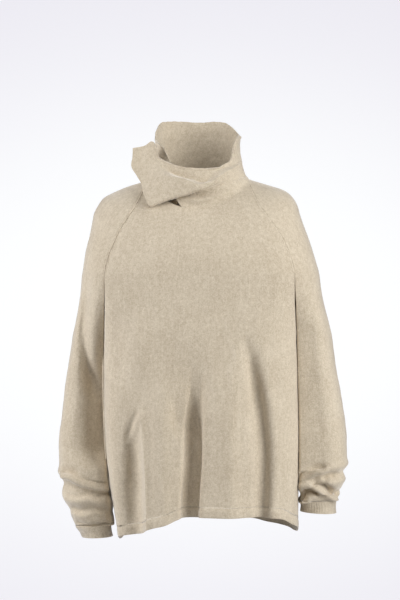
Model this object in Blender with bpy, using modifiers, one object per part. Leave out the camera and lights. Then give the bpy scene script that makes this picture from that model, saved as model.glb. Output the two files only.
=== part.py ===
# Oversized raglan sweater with a tall folded funnel collar, held in its worn shape.
# Units: metres.  +X = wearer's left, -Y = front, +Z = up.
# Origin: centre of the neck base, where the neckline rests on the wearer.
import bpy
import bmesh
import math
import numpy as np

NAME = "sweater"

# ---------------------------------------------------------------- named sizes
WALL = 0.003            # felted double-bed knit
GAP = 0.00036           # gap between sewn pieces
SEAM_STRIP = 0.004      # narrow strip of faces beside each seam
HEM_BAND = 0.018        # height of the lower band
CUFF_HEIGHT = 0.024     # height of a cuff
UNDERARM_DROP = 0.024   # how far the underarm point hangs below the split
BODY_MID_Y = -0.030     # depth of the side seams
BODY_FRONT_COLS = 22
BODY_BACK_COLS = 20
STRIP_COLS = 3
YOKE_ROWS = 8
BODY_ROWS = 12
SLEEVE_OUTER_COLS = 12
SLEEVE_ROWS = 14
COLLAR_COLS = 40

# Yoke rings from the neckline (0) to the underarm (1): outline at each shoulder,
# profile at centre front and centre back, and how square the ring is.
YOKE = [
    # t,    right_x, right_z, left_x, left_z, front_y, front_z, back_y, back_z, power
    (0.00, -0.1160,  0.0165,  0.1180,  0.0190, -0.0930, -0.0450, 0.0780,  0.0300, 2.00),
    (0.12, -0.1485,  0.0063,  0.1500,  0.0095, -0.1035, -0.0610, 0.0900,  0.0160, 2.00),
    (0.23, -0.1758, -0.0053,  0.1790,  0.0000, -0.1115, -0.0770, 0.1000, -0.0030, 2.03),
    (0.34, -0.1968, -0.0168,  0.1960, -0.0120, -0.1180, -0.0930, 0.1080, -0.0250, 2.08),
    (0.45, -0.2094, -0.0336,  0.2085, -0.0310, -0.1230, -0.1080, 0.1130, -0.0490, 2.14),
    (0.56, -0.2178, -0.0504,  0.2150, -0.0530, -0.1270, -0.1220, 0.1170, -0.0740, 2.20),
    (0.67, -0.2222, -0.0740,  0.2222, -0.0740, -0.1300, -0.1350, 0.1200, -0.0990, 2.27),
    (0.78, -0.2272, -0.0987,  0.2312, -0.0980, -0.1325, -0.1480, 0.1222, -0.1240, 2.34),
    (0.89, -0.2346, -0.1281,  0.2411, -0.1281, -0.1343, -0.1620, 0.1235, -0.1480, 2.42),
    (1.00, -0.2409, -0.1701,  0.2535, -0.1701, -0.1352, -0.1790, 0.1240, -0.1760, 2.50),
]

# Raglan seams: distance from the centre line along the yoke rings.
SEAM = [
    # t,   front_right, front_left, back_right, back_left
    (0.00, -0.1080, 0.1080, -0.0950, 0.0950),
    (0.12, -0.1190, 0.1190, -0.1080, 0.1080),
    (0.23, -0.1290, 0.1290, -0.1200, 0.1200),
    (0.34, -0.1400, 0.1400, -0.1310, 0.1310),
    (0.45, -0.1500, 0.1520, -0.1420, 0.1430),
    (0.56, -0.1590, 0.1630, -0.1520, 0.1540),
    (0.67, -0.1670, 0.1730, -0.1610, 0.1650),
    (0.78, -0.1750, 0.1820, -0.1700, 0.1750),
    (0.89, -0.1840, 0.1910, -0.1790, 0.1850),
    (1.00, -0.1910, 0.1990, -0.1860, 0.1940),
]

# Body below the underarm.
BODY = [
    # z,     right_x, left_x, front_y, back_y, power
    (-0.170, -0.1950, 0.2030, -0.1350, 0.1240, 2.60),
    (-0.250, -0.1940, 0.2060, -0.1370, 0.1260, 2.60),
    (-0.330, -0.1950, 0.2070, -0.1380, 0.1280, 2.60),
    (-0.410, -0.1950, 0.2085, -0.1390, 0.1300, 2.60),
    (-0.490, -0.1930, 0.2105, -0.1395, 0.1320, 2.60),
    (-0.560, -0.1890, 0.2110, -0.1400, 0.1330, 2.60),
    (-0.620, -0.1820, 0.2100, -0.1400, 0.1340, 2.60),
    (-0.680, -0.1720, 0.2095, -0.1400, 0.1350, 2.60),
    (-0.740, -0.1640, 0.2110, -0.1400, 0.1350, 2.60),
]

# Lower edge by angle from centre front (0) to centre back (180), wearer's left positive.
HEM = [
    # degrees, z
    (-180, -0.6995), (-150, -0.7020), (-125, -0.7200), (-104, -0.7330), (-90, -0.7250), (-66, -0.7170),
    (-44, -0.7093), (-30, -0.6954), (-21, -0.6880), (-13, -0.6780), (-5, -0.6745),
    (20, -0.6740), (39, -0.6757), (52, -0.6815), (60, -0.6910), (75, -0.7000),
    (90, -0.7080), (104, -0.7170), (125, -0.7120), (150, -0.7020), (180, -0.6995),
]

# Sleeves below the underarm: ring sizes by height.
SLEEVE_RIGHT = [
    # z,     outer_x, inner_x, front_y, back_y, tilt
    (-0.185, -0.2430, -0.1920, -0.0800, 0.0900, 0.20),
    (-0.235, -0.2525, -0.1900, -0.0700, 0.0900, 0.20),
    (-0.300, -0.2605, -0.1880, -0.0620, 0.0850, 0.20),
    (-0.380, -0.2730, -0.1880, -0.0600, 0.0780, 0.18),
    (-0.460, -0.2830, -0.1860, -0.0610, 0.0690, 0.14),
    (-0.540, -0.2905, -0.1840, -0.0660, 0.0580, 0.08),
    (-0.590, -0.2885, -0.1830, -0.0690, 0.0500, 0.00),
    (-0.640, -0.2790, -0.1830, -0.0680, 0.0420, -0.04),
    (-0.680, -0.2640, -0.1820, -0.0620, 0.0300, -0.06),
    (-0.701, -0.2550, -0.1810, -0.0560, 0.0200, -0.06),
]
SLEEVE_LEFT = [
    # z,     outer_x, inner_x, front_y, back_y, tilt
    (-0.185, 0.2560, 0.2000, -0.0800, 0.0900, 0.20),
    (-0.235, 0.2670, 0.2010, -0.0700, 0.0900, 0.20),
    (-0.300, 0.2795, 0.2010, -0.0620, 0.0850, 0.20),
    (-0.380, 0.2910, 0.2020, -0.0600, 0.0780, 0.18),
    (-0.460, 0.3050, 0.2040, -0.0610, 0.0690, 0.14),
    (-0.530, 0.3130, 0.2060, -0.0660, 0.0580, 0.08),
    (-0.575, 0.3115, 0.2080, -0.0700, 0.0500, 0.04),
    (-0.610, 0.3035, 0.2090, -0.0700, 0.0440, 0.00),
    (-0.635, 0.2990, 0.2160, -0.0640, 0.0360, 0.00),
    (-0.650, 0.2900, 0.2150, -0.0590, 0.0280, 0.04),
]
SLEEVE_END = {"right": -0.701, "left": -0.650}
CUFF = {
    # end height, outer_x, inner_x, front_y, back_y, tilt of the open edge
    "right": (-0.7245, -0.2420, -0.1770, -0.0560, 0.0180, -0.03),
    "left": (-0.6735, 0.2900, 0.2140, -0.0600, 0.0270, -0.05),
}

# Collar: the lines that run round it, from the neckline up, each as angle from
# centre front (wearer's left positive), radius from the neck axis and height.
# The strip starts at the slit at the wearer's right front and runs by the front,
# the left and the back to the right again, where it ends under its own start.
COLLAR_INNER_FOLD = [
    # degrees, radius, z
    (-36, 0.1010, 0.0010), (-20, 0.0930, -0.0020), (0, 0.0890, -0.0080), (20, 0.0890, 0.0000),
    (40, 0.0920, 0.0130), (65, 0.0980, 0.0230), (90, 0.1020, 0.0290), (130, 0.0900, 0.0440),
    (180, 0.0790, 0.0520), (230, 0.0880, 0.0440), (265, 0.0960, 0.0340), (300, 0.0900, 0.0240),
    (330, 0.0860, 0.0000),
]
COLLAR_RIM = [
    (-46, 0.1330, -0.0390), (-40, 0.1210, -0.0325), (-33, 0.1090, -0.0268), (-26, 0.1050, -0.0225),
    (-10, 0.1010, -0.0150), (4, 0.0990, -0.0060), (17, 0.0970, 0.0045), (33, 0.0960, 0.0205),
    (52, 0.0955, 0.0335), (72, 0.0955, 0.0430), (90, 0.0950, 0.0480), (130, 0.0900, 0.0650),
    (180, 0.0830, 0.0760), (230, 0.0880, 0.0680), (265, 0.0920, 0.0540), (300, 0.0860, 0.0420),
    (324, 0.0820, 0.0200),
]
COLLAR_ROLL = [
    (-63, 0.1310, 0.0090), (-55, 0.1210, 0.0140), (-45, 0.1120, 0.0215), (-33, 0.1070, 0.0225),
    (-15, 0.1030, 0.0175), (4, 0.1010, 0.0070), (17, 0.0980, 0.0135), (33, 0.0965, 0.0295),
    (52, 0.0955, 0.0430), (72, 0.0935, 0.0545), (90, 0.0925, 0.0620), (130, 0.0920, 0.0850),
    (180, 0.0870, 0.0980), (230, 0.0910, 0.0860), (265, 0.0890, 0.0680), (295, 0.0840, 0.0560),
    (320, 0.0800, 0.0400),
]
COLLAR_VALLEY = [
    (-72, 0.1450, 0.0474), (-67, 0.1210, 0.0503), (-60, 0.1060, 0.0560), (-53, 0.0985, 0.0520),
    (-38, 0.0880, 0.0330), (-22, 0.0860, 0.0225), (-8, 0.0870, 0.0180), (5, 0.0880, 0.0090),
    (15, 0.0860, 0.0170), (23, 0.0850, 0.0312), (32, 0.0860, 0.0375), (56, 0.0890, 0.0480),
    (75, 0.0880, 0.0620), (92, 0.0900, 0.0780), (130, 0.0930, 0.1080), (180, 0.0890, 0.1210),
    (230, 0.0930, 0.1080), (265, 0.0890, 0.0860), (290, 0.0830, 0.0700), (312, 0.0780, 0.0560),
]
COLLAR_EDGE = [
    (-75, 0.1400, 0.0853), (-71, 0.1180, 0.0896), (-66, 0.1060, 0.0985), (-63, 0.1020, 0.0960),
    (-58, 0.1000, 0.0700), (-53, 0.0960, 0.0620), (-39, 0.0880, 0.0508), (-18, 0.0835, 0.0425),
    (5, 0.0825, 0.0405), (31, 0.0860, 0.0425), (40, 0.0850, 0.0490), (58, 0.0840, 0.0660),
    (66, 0.0820, 0.0880), (78, 0.0850, 0.1075), (108, 0.0960, 0.1140), (141, 0.0960, 0.1466),
    (180, 0.0920, 0.1490), (214, 0.1010, 0.1503), (233, 0.1000, 0.1456), (258, 0.0930, 0.1080),
    (275, 0.0870, 0.1000), (296, 0.0800, 0.0860),
]

# Soft folds of the front and back: centre line (x, z) at the top and bottom,
# half width there, and depth (negative = into the cloth).
BODY_FOLDS = [
    # side, top_x, top_z, low_x, low_z, top_w, low_w, depth, bend
    ("front", 0.0150, -0.330, -0.0170, -0.700, 0.012, 0.012, -0.0120, -0.006),
    ("front", 0.1080, -0.290, 0.1300, -0.700, 0.014, 0.017, -0.0075, 0.006),
    ("front", 0.0520, -0.360, 0.0600, -0.700, 0.026, 0.034, 0.0050, 0.0),
    ("front", -0.0660, -0.380, -0.0700, -0.700, 0.022, 0.028, 0.0050, 0.0),
    ("front", -0.1330, -0.460, -0.1370, -0.720, 0.014, 0.020, -0.0090, 0.0),
    ("back", -0.0450, -0.260, -0.0600, -0.740, 0.018, 0.022, -0.0090, 0.004),
    ("back", 0.0500, -0.300, 0.0700, -0.740, 0.018, 0.022, -0.0090, -0.004),
    ("back", 0.1350, -0.360, 0.1450, -0.740, 0.016, 0.020, -0.0060, 0.0),
    ("back", -0.1300, -0.340, -0.1350, -0.740, 0.016, 0.020, -0.0060, 0.0),
    ("back", 0.0050, -0.300, 0.0050, -0.740, 0.020, 0.030, 0.0050, 0.0),
]

# Rolls of the pushed-down sleeve ends: height at the outer and inner side,
# half width and height of the roll.
SLEEVE_ROLLS = {
    "right": [
        # outer_z, inner_z, half_width, size
        (-0.590, -0.614, 0.010, 0.0050),
        (-0.612, -0.634, 0.010, -0.0050),
        (-0.640, -0.650, 0.011, 0.0035),
        (-0.668, -0.672, 0.009, -0.0030),
    ],
    "left": [
        (-0.572, -0.590, 0.008, 0.0040),
        (-0.588, -0.606, 0.007, -0.0045),
        (-0.606, -0.620, 0.008, 0.0045),
        (-0.628, -0.636, 0.007, -0.0040),
    ],
}


# ---------------------------------------------------------------- shape helpers
def column(table, index):
    return np.array([row[index] for row in table], dtype=float)


def smooth(xs, ys, x):
    """Smooth curve through the table values (finite-difference tangents)."""
    xs = np.asarray(xs, float)
    ys = np.asarray(ys, float)
    x = np.clip(np.asarray(x, float), xs[0], xs[-1])
    h = np.diff(xs)
    d = np.diff(ys) / h
    m = np.empty(len(xs))
    m[0], m[-1] = d[0], d[-1]
    m[1:-1] = (d[:-1] * h[1:] + d[1:] * h[:-1]) / (h[1:] + h[:-1])
    k = np.clip(np.searchsorted(xs, x, side="right") - 1, 0, len(xs) - 2)
    t = (x - xs[k]) / h[k]
    return ((2 * t**3 - 3 * t**2 + 1) * ys[k] + (t**3 - 2 * t**2 + t) * h[k] * m[k]
            + (3 * t**2 - 2 * t**3) * ys[k + 1] + (t**3 - t**2) * h[k] * m[k + 1])


def ease(a, b, x):
    t = np.clip((np.asarray(x, float) - a) / (b - a), 0.0, 1.0)
    return t * t * (3 - 2 * t)


def look(table, index, x, key=0):
    return smooth(column(table, key), column(table, index), x)


def ring(theta, right, left, front, back, power, mid=0.0):
    """Rounded-box ring: points at angle theta, 0 = front, positive = +X."""
    s, c = np.sin(theta), np.cos(theta)
    q = (np.abs(s) ** power + np.abs(c) ** power) ** (-1.0 / power)
    x = np.where(s >= 0, left, -right) * q * s
    y = mid + np.where(c >= 0, front - mid, -(back - mid)) * q * c
    return x, y


def yoke(t, theta):
    right, rz = look(YOKE, 1, t), look(YOKE, 2, t)
    left, lz = look(YOKE, 3, t), look(YOKE, 4, t)
    front, fz = look(YOKE, 5, t), look(YOKE, 6, t)
    back, bz = look(YOKE, 7, t), look(YOKE, 8, t)
    power = look(YOKE, 9, t)
    x, y = ring(theta, right, left, front, back, power)
    s, c = np.sin(theta), np.cos(theta)
    side = np.where(s >= 0, lz, rz)
    mid = np.where(c >= 0, fz, bz)
    return np.stack([x, y, side * s * s + mid * c * c], -1)


def body_ring(z, psi):
    right, left = look(BODY, 1, -z, 6), look(BODY, 2, -z, 6)
    front, back = look(BODY, 3, -z, 6), look(BODY, 4, -z, 6)
    power = look(BODY, 5, -z, 6)
    return ring(psi, right, left, front, back, power, BODY_MID_Y)


BODY = [row + (-row[0],) for row in BODY]
SLEEVE_TABLES = {"right": [row + (-row[0],) for row in SLEEVE_RIGHT],
                 "left": [row + (-row[0],) for row in SLEEVE_LEFT]}
SIGN = {"right": -1.0, "left": 1.0}
DENSE = np.radians(np.linspace(-180.0, 180.0, 1441))


def seam_angle(t, name):
    """Angle on the yoke ring where a raglan seam crosses it."""
    index = {"front_right": 1, "front_left": 2, "back_right": 3, "back_left": 4}[name]
    target = float(look(SEAM, index, t))
    pts = yoke(np.full(DENSE.shape, t), DENSE)
    if name.startswith("front"):
        pick = np.abs(DENSE) <= math.pi / 2
    elif name.endswith("left"):
        pick = DENSE >= math.pi / 2
    else:
        pick = DENSE <= -math.pi / 2
    xs, an = pts[pick][:, 0], DENSE[pick]
    order = np.argsort(xs)
    return float(np.interp(target, xs[order], an[order]))


def hem_z(psi):
    return smooth(column(HEM, 0), column(HEM, 1), np.degrees(psi))


def underarm(side, count):
    """Curve under the arm from the front split point to the back one."""
    front = yoke(1.0, seam_angle(1.0, "front_" + side))
    back = yoke(1.0, seam_angle(1.0, "back_" + side))
    s = np.linspace(0.0, 1.0, count)
    x = front[0] + (back[0] - front[0]) * s
    y = front[1] + (back[1] - front[1]) * s
    z = front[2] + (back[2] - front[2]) * s - UNDERARM_DROP * np.sin(np.pi * s) ** 1.0
    x = x + SIGN[side] * 0.004 * np.sin(np.pi * s)
    return np.stack([x, y, z], -1)


def spaced(count, strip):
    """0..1 with a narrow cell at both ends."""
    inner = np.linspace(strip, 1.0 - strip, count - 1)
    return np.concatenate([[0.0], inner, [1.0]])


def roll_field(pts, normal, folds, side):
    """Push points along their normals by the folds of one side."""
    out = pts.copy()
    for row in folds:
        if row[0] != side:
            continue
        _, tx, tz, lx, lz, tw, lw, depth, bend = row
        k = np.clip((pts[..., 2] - tz) / (lz - tz), -0.2, 1.2)
        line = tx + (lx - tx) * k + bend * 4.0 * k * (1.0 - k)
        width = tw + (lw - tw) * np.clip(k, 0, 1)
        amount = depth * ease(0.0, 0.45, k) * np.exp(-((pts[..., 0] - line) / width) ** 2)
        out += normal * amount[..., None]
    return out


def grid_normals(pts, sign):
    du = np.gradient(pts, axis=1)
    dv = np.gradient(pts, axis=0)
    n = np.cross(du, dv)
    n /= np.maximum(np.linalg.norm(n, axis=-1, keepdims=True), 1e-12)
    return n * sign


# ---------------------------------------------------------------- body panels
def body_columns(side):
    """Yoke angle at the split and body angle for each column of a panel."""
    count = BODY_FRONT_COLS if side == "front" else BODY_BACK_COLS
    frac = spaced(count, 0.012)
    a = seam_angle(1.0, side + "_right")
    b = seam_angle(1.0, side + "_left")
    if side == "back":
        a, b = b, a + 2 * math.pi
    return frac, a, b


def panel(side):
    """Yoke part and lower part of the front or back as rows of points."""
    frac, a, b = body_columns(side)
    rows = []
    for t in spaced(YOKE_ROWS, 0.03):
        ta = seam_angle(t, side + "_right")
        tb = seam_angle(t, side + "_left")
        if side == "back":
            ta, tb = tb, ta + 2 * math.pi
        rows.append(yoke(np.full(frac.shape, t), ta + (tb - ta) * frac))
    yoke_part = np.array(rows)

    # split row: strip from the side seam, the panel, strip to the other side seam
    first, last = ("right", "left") if side == "front" else ("left", "right")
    n_arc = 2 * STRIP_COLS + 1
    arcs = {}
    for name in ("right", "left"):
        curve = underarm(name, n_arc)
        arcs[name] = curve[:STRIP_COLS + 1] if side == "front" else curve[STRIP_COLS:]
    if side == "front":
        left_strip = arcs["right"][::-1]      # side seam -> split point
        right_strip = arcs["left"]            # split point -> side seam
    else:
        left_strip = arcs["left"]             # side seam -> split point
        right_strip = arcs["right"][::-1]     # split point -> side seam
    split = np.concatenate([left_strip[:-1], yoke_part[-1], right_strip[1:]])

    # body angles for the columns: match x at the split
    z0 = np.full(DENSE.shape, -0.20)
    bx, _ = body_ring(z0, DENSE)
    if side == "front":
        pick = np.abs(DENSE) <= math.radians(74)
        psi_mid = np.interp(yoke_part[-1][:, 0], bx[pick], DENSE[pick])
        psi_a = np.linspace(-math.pi / 2, psi_mid[0], STRIP_COLS + 1)[:-1]
        psi_b = np.linspace(psi_mid[-1], math.pi / 2, STRIP_COLS + 1)[1:]
    else:
        wide = np.where(DENSE < 0, DENSE + 2 * math.pi, DENSE)
        order = np.argsort(wide)
        wide, bx = wide[order], bx[order]
        pick = np.abs(wide - math.pi) <= math.radians(74)
        psi_mid = np.interp(-yoke_part[-1][:, 0], -bx[pick], wide[pick])
        psi_a = np.linspace(math.pi / 2, psi_mid[0], STRIP_COLS + 1)[:-1]
        psi_b = np.linspace(psi_mid[-1], 1.5 * math.pi, STRIP_COLS + 1)[1:]
    psi = np.concatenate([psi_a, psi_mid, psi_b])
    low = hem_z(np.where(psi > math.pi, psi - 2 * math.pi, psi))

    rows = []
    for v in np.concatenate([np.linspace(0.0, 1.0, BODY_ROWS)[:-1], [0.992, 1.0]]):
        z = split[:, 2] + (low + HEM_BAND - split[:, 2]) * v
        x, y = body_ring(z, psi)
        k = ease(0.0, 0.30, v)
        rows.append(np.stack([split[:, 0] * (1 - k) + x * k,
                              split[:, 1] * (1 - k) + y * k, z], -1))
    lower = np.array(rows)
    rows = []
    for v in (0.0, 0.06, 0.5, 1.0):
        z = low + HEM_BAND * (1.0 - v)
        x, y = body_ring(z, psi)
        rows.append(np.stack([x, y, z], -1))
    band = np.array(rows)
    both = np.concatenate([lower, band[1:]])
    both = roll_field(both, grid_normals(both, -1.0), BODY_FOLDS, side)
    lower, band = both[:len(lower)], both[len(lower) - 1:]
    return yoke_part, lower, band


def finer(rows, times):
    """Points between the grid points, on the same facets."""
    out = np.asarray(rows)
    for axis in (0, 1):
        n = out.shape[axis]
        at = np.linspace(0, n - 1, (n - 1) * times + 1)
        low = np.minimum(at.astype(int), n - 2)
        part = (at - low).reshape((-1, 1, 1) if axis == 0 else (1, -1, 1))
        out = np.take(out, low, axis) * (1 - part) + np.take(out, low + 1, axis) * part
    return out


REACH_CELL = 0.005
REACH_Y = np.arange(-0.18, 0.18, REACH_CELL)
REACH_Z = np.arange(-0.80, -0.10, REACH_CELL)


def reach_map(side):
    """How far out the body reaches for each depth and height cell (side view)."""
    sign = SIGN[side]
    reach = np.zeros((len(REACH_Y), len(REACH_Z)))
    for name in ("front", "back"):
        _, lower, band = panel(name)
        pts = finer(np.concatenate([lower, band[1:]]), 6).reshape(-1, 3)
        pts = pts[pts[:, 0] * sign > 0.10]
        iy = np.clip(((pts[:, 1] - REACH_Y[0]) / REACH_CELL).astype(int), 0, len(REACH_Y) - 2)
        iz = np.clip(((pts[:, 2] - REACH_Z[0]) / REACH_CELL).astype(int), 0, len(REACH_Z) - 2)
        for dy in (0, 1):
            for dz in (0, 1):
                np.maximum.at(reach, (iy + dy, iz + dz), pts[:, 0] * sign)
    return reach


REACH = {}


def body_half(side, y, z):
    """How far out the body reaches at a given depth and height (side view)."""
    if side not in REACH:
        REACH[side] = reach_map(side)
    fy = np.clip((y - REACH_Y[0]) / REACH_CELL, 0, len(REACH_Y) - 1.001)
    fz = np.clip((z - REACH_Z[0]) / REACH_CELL, 0, len(REACH_Z) - 1.001)
    iy, iz = fy.astype(int), fz.astype(int)
    py, pz = fy - iy, fz - iz
    m = REACH[side]
    return SIGN[side] * (m[iy, iz] * (1 - py) * (1 - pz) + m[iy + 1, iz] * py * (1 - pz)
                         + m[iy, iz + 1] * (1 - py) * pz + m[iy + 1, iz + 1] * py * pz)


# ---------------------------------------------------------------- sleeves
def sleeve(side):
    sign = SIGN[side]
    frac = spaced(SLEEVE_OUTER_COLS, 0.025)
    rows = []
    for t in spaced(YOKE_ROWS, 0.03):
        a = seam_angle(t, "front_" + side)
        b = seam_angle(t, "back_" + side)
        rows.append(yoke(np.full(frac.shape, t), a + (b - a) * frac))
    yoke_part = np.array(rows)
    inner = underarm(side, 2 * STRIP_COLS + 1)[::-1]       # back split -> front split
    split = np.concatenate([yoke_part[-1], inner[1:-1]])    # closed ring
    n_out = len(frac)
    table = SLEEVE_TABLES[side]
    end = SLEEVE_END[side]
    corner = math.radians(128.0)
    phi = np.concatenate([-corner + 2 * corner * frac,
                          np.linspace(corner, 2 * math.pi - corner, 2 * STRIP_COLS + 1)[1:-1]])
    centre = split.mean(0)

    def section(zc):
        outer, inside = look(table, 1, -zc, 6), look(table, 2, -zc, 6)
        front, back = look(table, 3, -zc, 6), look(table, 4, -zc, 6)
        tilt = look(table, 5, -zc, 6)
        a = abs(outer - inside) / 2
        x = (outer + inside) / 2 + sign * a * np.cos(phi)
        y = (front + back) / 2 + (back - front) / 2 * np.sin(phi)
        z = zc + tilt * a * np.cos(phi)
        return np.stack([x, y, z], -1)

    start = -0.185
    rows = [split]
    for v in np.concatenate([np.linspace(0.0, 1.0, SLEEVE_ROWS)[1:-1], [0.99, 1.0]]):
        zc = start + (end - start) * v
        k = ease(0.0, 0.26, v)
        shape = section(zc)
        mid = shape.mean(0)
        pts = mid + (split - centre) * (1 - k) + (shape - mid) * k
        rows.append(pts)
    lower = np.array(rows)
    lower = shape_sleeve(lower, side)
    # clear of the body
    for r in range(1, len(lower)):
        lower[r] = clear_body(lower[r], side, 0.0044 if r < 3 else 0.0036)
        soft = 0.5 * lower[r] + 0.25 * np.roll(lower[r], 1, 0) + 0.25 * np.roll(lower[r], -1, 0)
        part = 1.0 - ease(0.30, 0.45, r / (len(lower) - 1))
        lower[r] = clear_body(lower[r] * (1 - part) + soft * part, side, 0.0036)
    cz, outer, inside, front, back, tilt = CUFF[side]
    top = lower[-1]
    a = abs(outer - inside) / 2
    bottom = np.stack([(outer + inside) / 2 + sign * a * np.cos(phi),
                       (front + back) / 2 + (back - front) / 2 * np.sin(phi),
                       cz + tilt * a * np.cos(phi)], -1)
    tube = []
    for v in (0.0, 0.08, 0.55, 1.0):
        pinch = 1.0 - 0.03 * math.sin(math.pi * v)
        pts = top * (1 - v) + bottom * v
        mid = pts.mean(0)
        row = pts.copy()
        row[:, :2] = mid[:2] + (pts[:, :2] - mid[:2]) * pinch
        tube.append(row)
    tube = np.array(tube)
    for r in range(len(tube)):
        tube[r] = clear_body(tube[r], side, 0.0052)
    # the seam between sleeve and cuff runs straight down
    tube[1][:, :2] = tube[0][:, :2]
    lower[-1] = tube[0]
    lower[-2][:, :2] = tube[0][:, :2]
    return yoke_part, lower, tube, n_out


def clear_body(pts, side, clear):
    sign = SIGN[side]
    out = pts.copy()
    limit = body_half(side, out[:, 1], out[:, 2]) + sign * clear
    inward = sign * (limit - out[:, 0])
    out[:, 0] = np.where(inward > 0, limit, out[:, 0])
    return out


def shape_sleeve(rows, side):
    """Rolls where the long sleeve is pushed down over the hand."""
    sign = SIGN[side]
    out = rows.copy()
    mid = rows.mean(1, keepdims=True)
    radial = rows - mid
    radial[..., 2] = 0.0
    length = np.maximum(np.linalg.norm(radial, axis=-1, keepdims=True), 1e-9)
    radial = radial / length
    for outer_z, inner_z, width, size in SLEEVE_ROLLS[side]:
        across = np.clip(0.5 + 0.5 * sign * radial[..., 0], 0.0, 1.0)
        line = inner_z + (outer_z - inner_z) * across
        amount = size * np.exp(-((rows[..., 2] - line) / width) ** 2)
        out += radial * amount[..., None]
    return out


# ---------------------------------------------------------------- collar
def neckline(angle):
    wrapped = (angle + math.pi) % (2 * math.pi) - math.pi
    pts = yoke(np.zeros(wrapped.shape), wrapped)
    return pts


def line_at(table, u):
    """Point of a collar line at fraction u of its way round."""
    deg = column(table, 0)
    a = deg[0] + (deg[-1] - deg[0]) * u
    return np.radians(a), smooth(deg, column(table, 1), a), smooth(deg, column(table, 2), a)


def collar(cols=COLLAR_COLS):
    u = np.linspace(0.0, 1.0, cols + 1)
    neck = neckline(np.radians(-17.0 + (337.0 + 17.0) * u))
    # the neckline seam: start just above the yoke edge
    r = np.hypot(neck[:, 0], neck[:, 1])
    a0 = np.arctan2(neck[:, 0], -neck[:, 1])
    a0 = np.unwrap(a0)
    tuck = 0.0060 * ease(0.90, 0.97, u)
    lines = [(a0, r - 0.0004 - tuck, neck[:, 2] + 0.0005)]
    for table in (COLLAR_INNER_FOLD, COLLAR_RIM, COLLAR_ROLL, COLLAR_VALLEY, COLLAR_EDGE):
        lines.append(line_at(table, u))
    angle = [line[0] for line in lines]
    rad = [line[1] for line in lines]
    height = [line[2] for line in lines]
    # pleat: how far the cloth doubles back between inner fold and rim
    flap = ease(0.004, -0.006, height[2] - height[1])
    keys = []

    def key(w, k0, k1, dr=0.0, dz=0.0):
        keys.append((angle[k0] * (1 - w) + angle[k1] * w,
                     rad[k0] * (1 - w) + rad[k1] * w + dr,
                     height[k0] * (1 - w) + height[k1] * w + dz))

    def fold(w, k0, k1, at, dr, dz):
        """A plain wall point where there is no pleat, a point by the fold where there is."""
        keys.append(((angle[k0] * (1 - w) + angle[k1] * w) * (1 - flap) + angle[at] * flap,
                     (rad[k0] * (1 - w) + rad[k1] * w) * (1 - flap) + (rad[at] + dr) * flap,
                     (height[k0] * (1 - w) + height[k1] * w) * (1 - flap) + (height[at] + dz) * flap))

    key(0.0, 0, 1)
    key(0.45, 0, 1, -0.002 * (1 - flap))
    fold(0.8, 0, 1, 1, -0.0055, -0.003)
    key(0.0, 1, 1, -0.0015 * flap, 0.001 * flap)
    key(0.5, 1, 2, -0.0035 * flap, 0.001 * flap)
    fold(0.8, 1, 2, 2, -0.0080, 0.0015)
    key(0.0, 2, 2, 0.0005)
    key(0.5, 2, 3, 0.0045 * flap)
    key(0.0, 3, 3)
    key(0.5, 3, 4, 0.0)
    key(0.0, 4, 4)
    key(0.5, 4, 5, -0.001)
    key(0.0, 5, 5)
    rows = []
    for an, rr, zz in keys:
        rows.append(np.stack([rr * np.sin(an), -rr * np.cos(an), zz], -1))
    return np.array(rows)


# ---------------------------------------------------------------- mesh makers
def clean_scene():
    for ob in list(bpy.data.objects):
        bpy.data.objects.remove(ob, do_unlink=True)


def material():
    mat = bpy.data.materials.new("felted wool, beige")
    mat.use_nodes = True
    shader = mat.node_tree.nodes["Principled BSDF"]
    shader.inputs["Base Color"].default_value = (0.56, 0.47, 0.34, 1.0)
    shader.inputs["Roughness"].default_value = 0.95
    shader.inputs["Sheen Weight"].default_value = 0.3
    return mat


def make_sheet(name, faces_points, collection, mat):
    """Open surface with a wall turned inwards from it."""
    bm = bmesh.new()
    seen = {}

    def vert(co):
        k = (round(co[0], 6), round(co[1], 6), round(co[2], 6))
        if k not in seen:
            seen[k] = bm.verts.new(co)
        return seen[k]

    for quad in faces_points:
        vs = []
        for co in quad:
            v = vert(co)
            if v not in vs:
                vs.append(v)
        if len(vs) >= 3:
            bm.faces.new(vs)
    mesh = bpy.data.meshes.new(name)
    bm.to_mesh(mesh)
    bm.free()
    for poly in mesh.polygons:
        poly.use_smooth = True
    mesh.materials.append(mat)
    ob = bpy.data.objects.new(name, mesh)
    collection.objects.link(ob)
    wall = ob.modifiers.new("wall", "SOLIDIFY")
    wall.thickness = WALL
    wall.offset = -1.0
    wall.use_even_offset = False
    wall.use_rim = True
    return ob


def quads(rows, flip, closed=False):
    out = []
    for j in range(len(rows) - 1):
        n = len(rows[j])
        last = n if closed else n - 1
        for i in range(last):
            k = (i + 1) % n
            q = [tuple(rows[j][i]), tuple(rows[j][k]), tuple(rows[j + 1][k]), tuple(rows[j + 1][i])]
            out.append(q[::-1] if flip else q)
    return out


def inset(rows, edge, amount):
    """Move one edge of a grid towards its neighbours, for the seam gap."""
    out = np.array(rows)
    if edge == "top":
        d = out[1] - out[0]
        out[0] += d / np.linalg.norm(d, axis=-1, keepdims=True) * amount
    if edge == "bottom":
        d = out[-2] - out[-1]
        out[-1] += d / np.linalg.norm(d, axis=-1, keepdims=True) * amount
    if edge == "first":
        d = out[:, 1] - out[:, 0]
        out[:, 0] += d / np.linalg.norm(d, axis=-1, keepdims=True) * amount
    if edge == "last":
        d = out[:, -2] - out[:, -1]
        out[:, -1] += d / np.linalg.norm(d, axis=-1, keepdims=True) * amount
    return out


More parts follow.
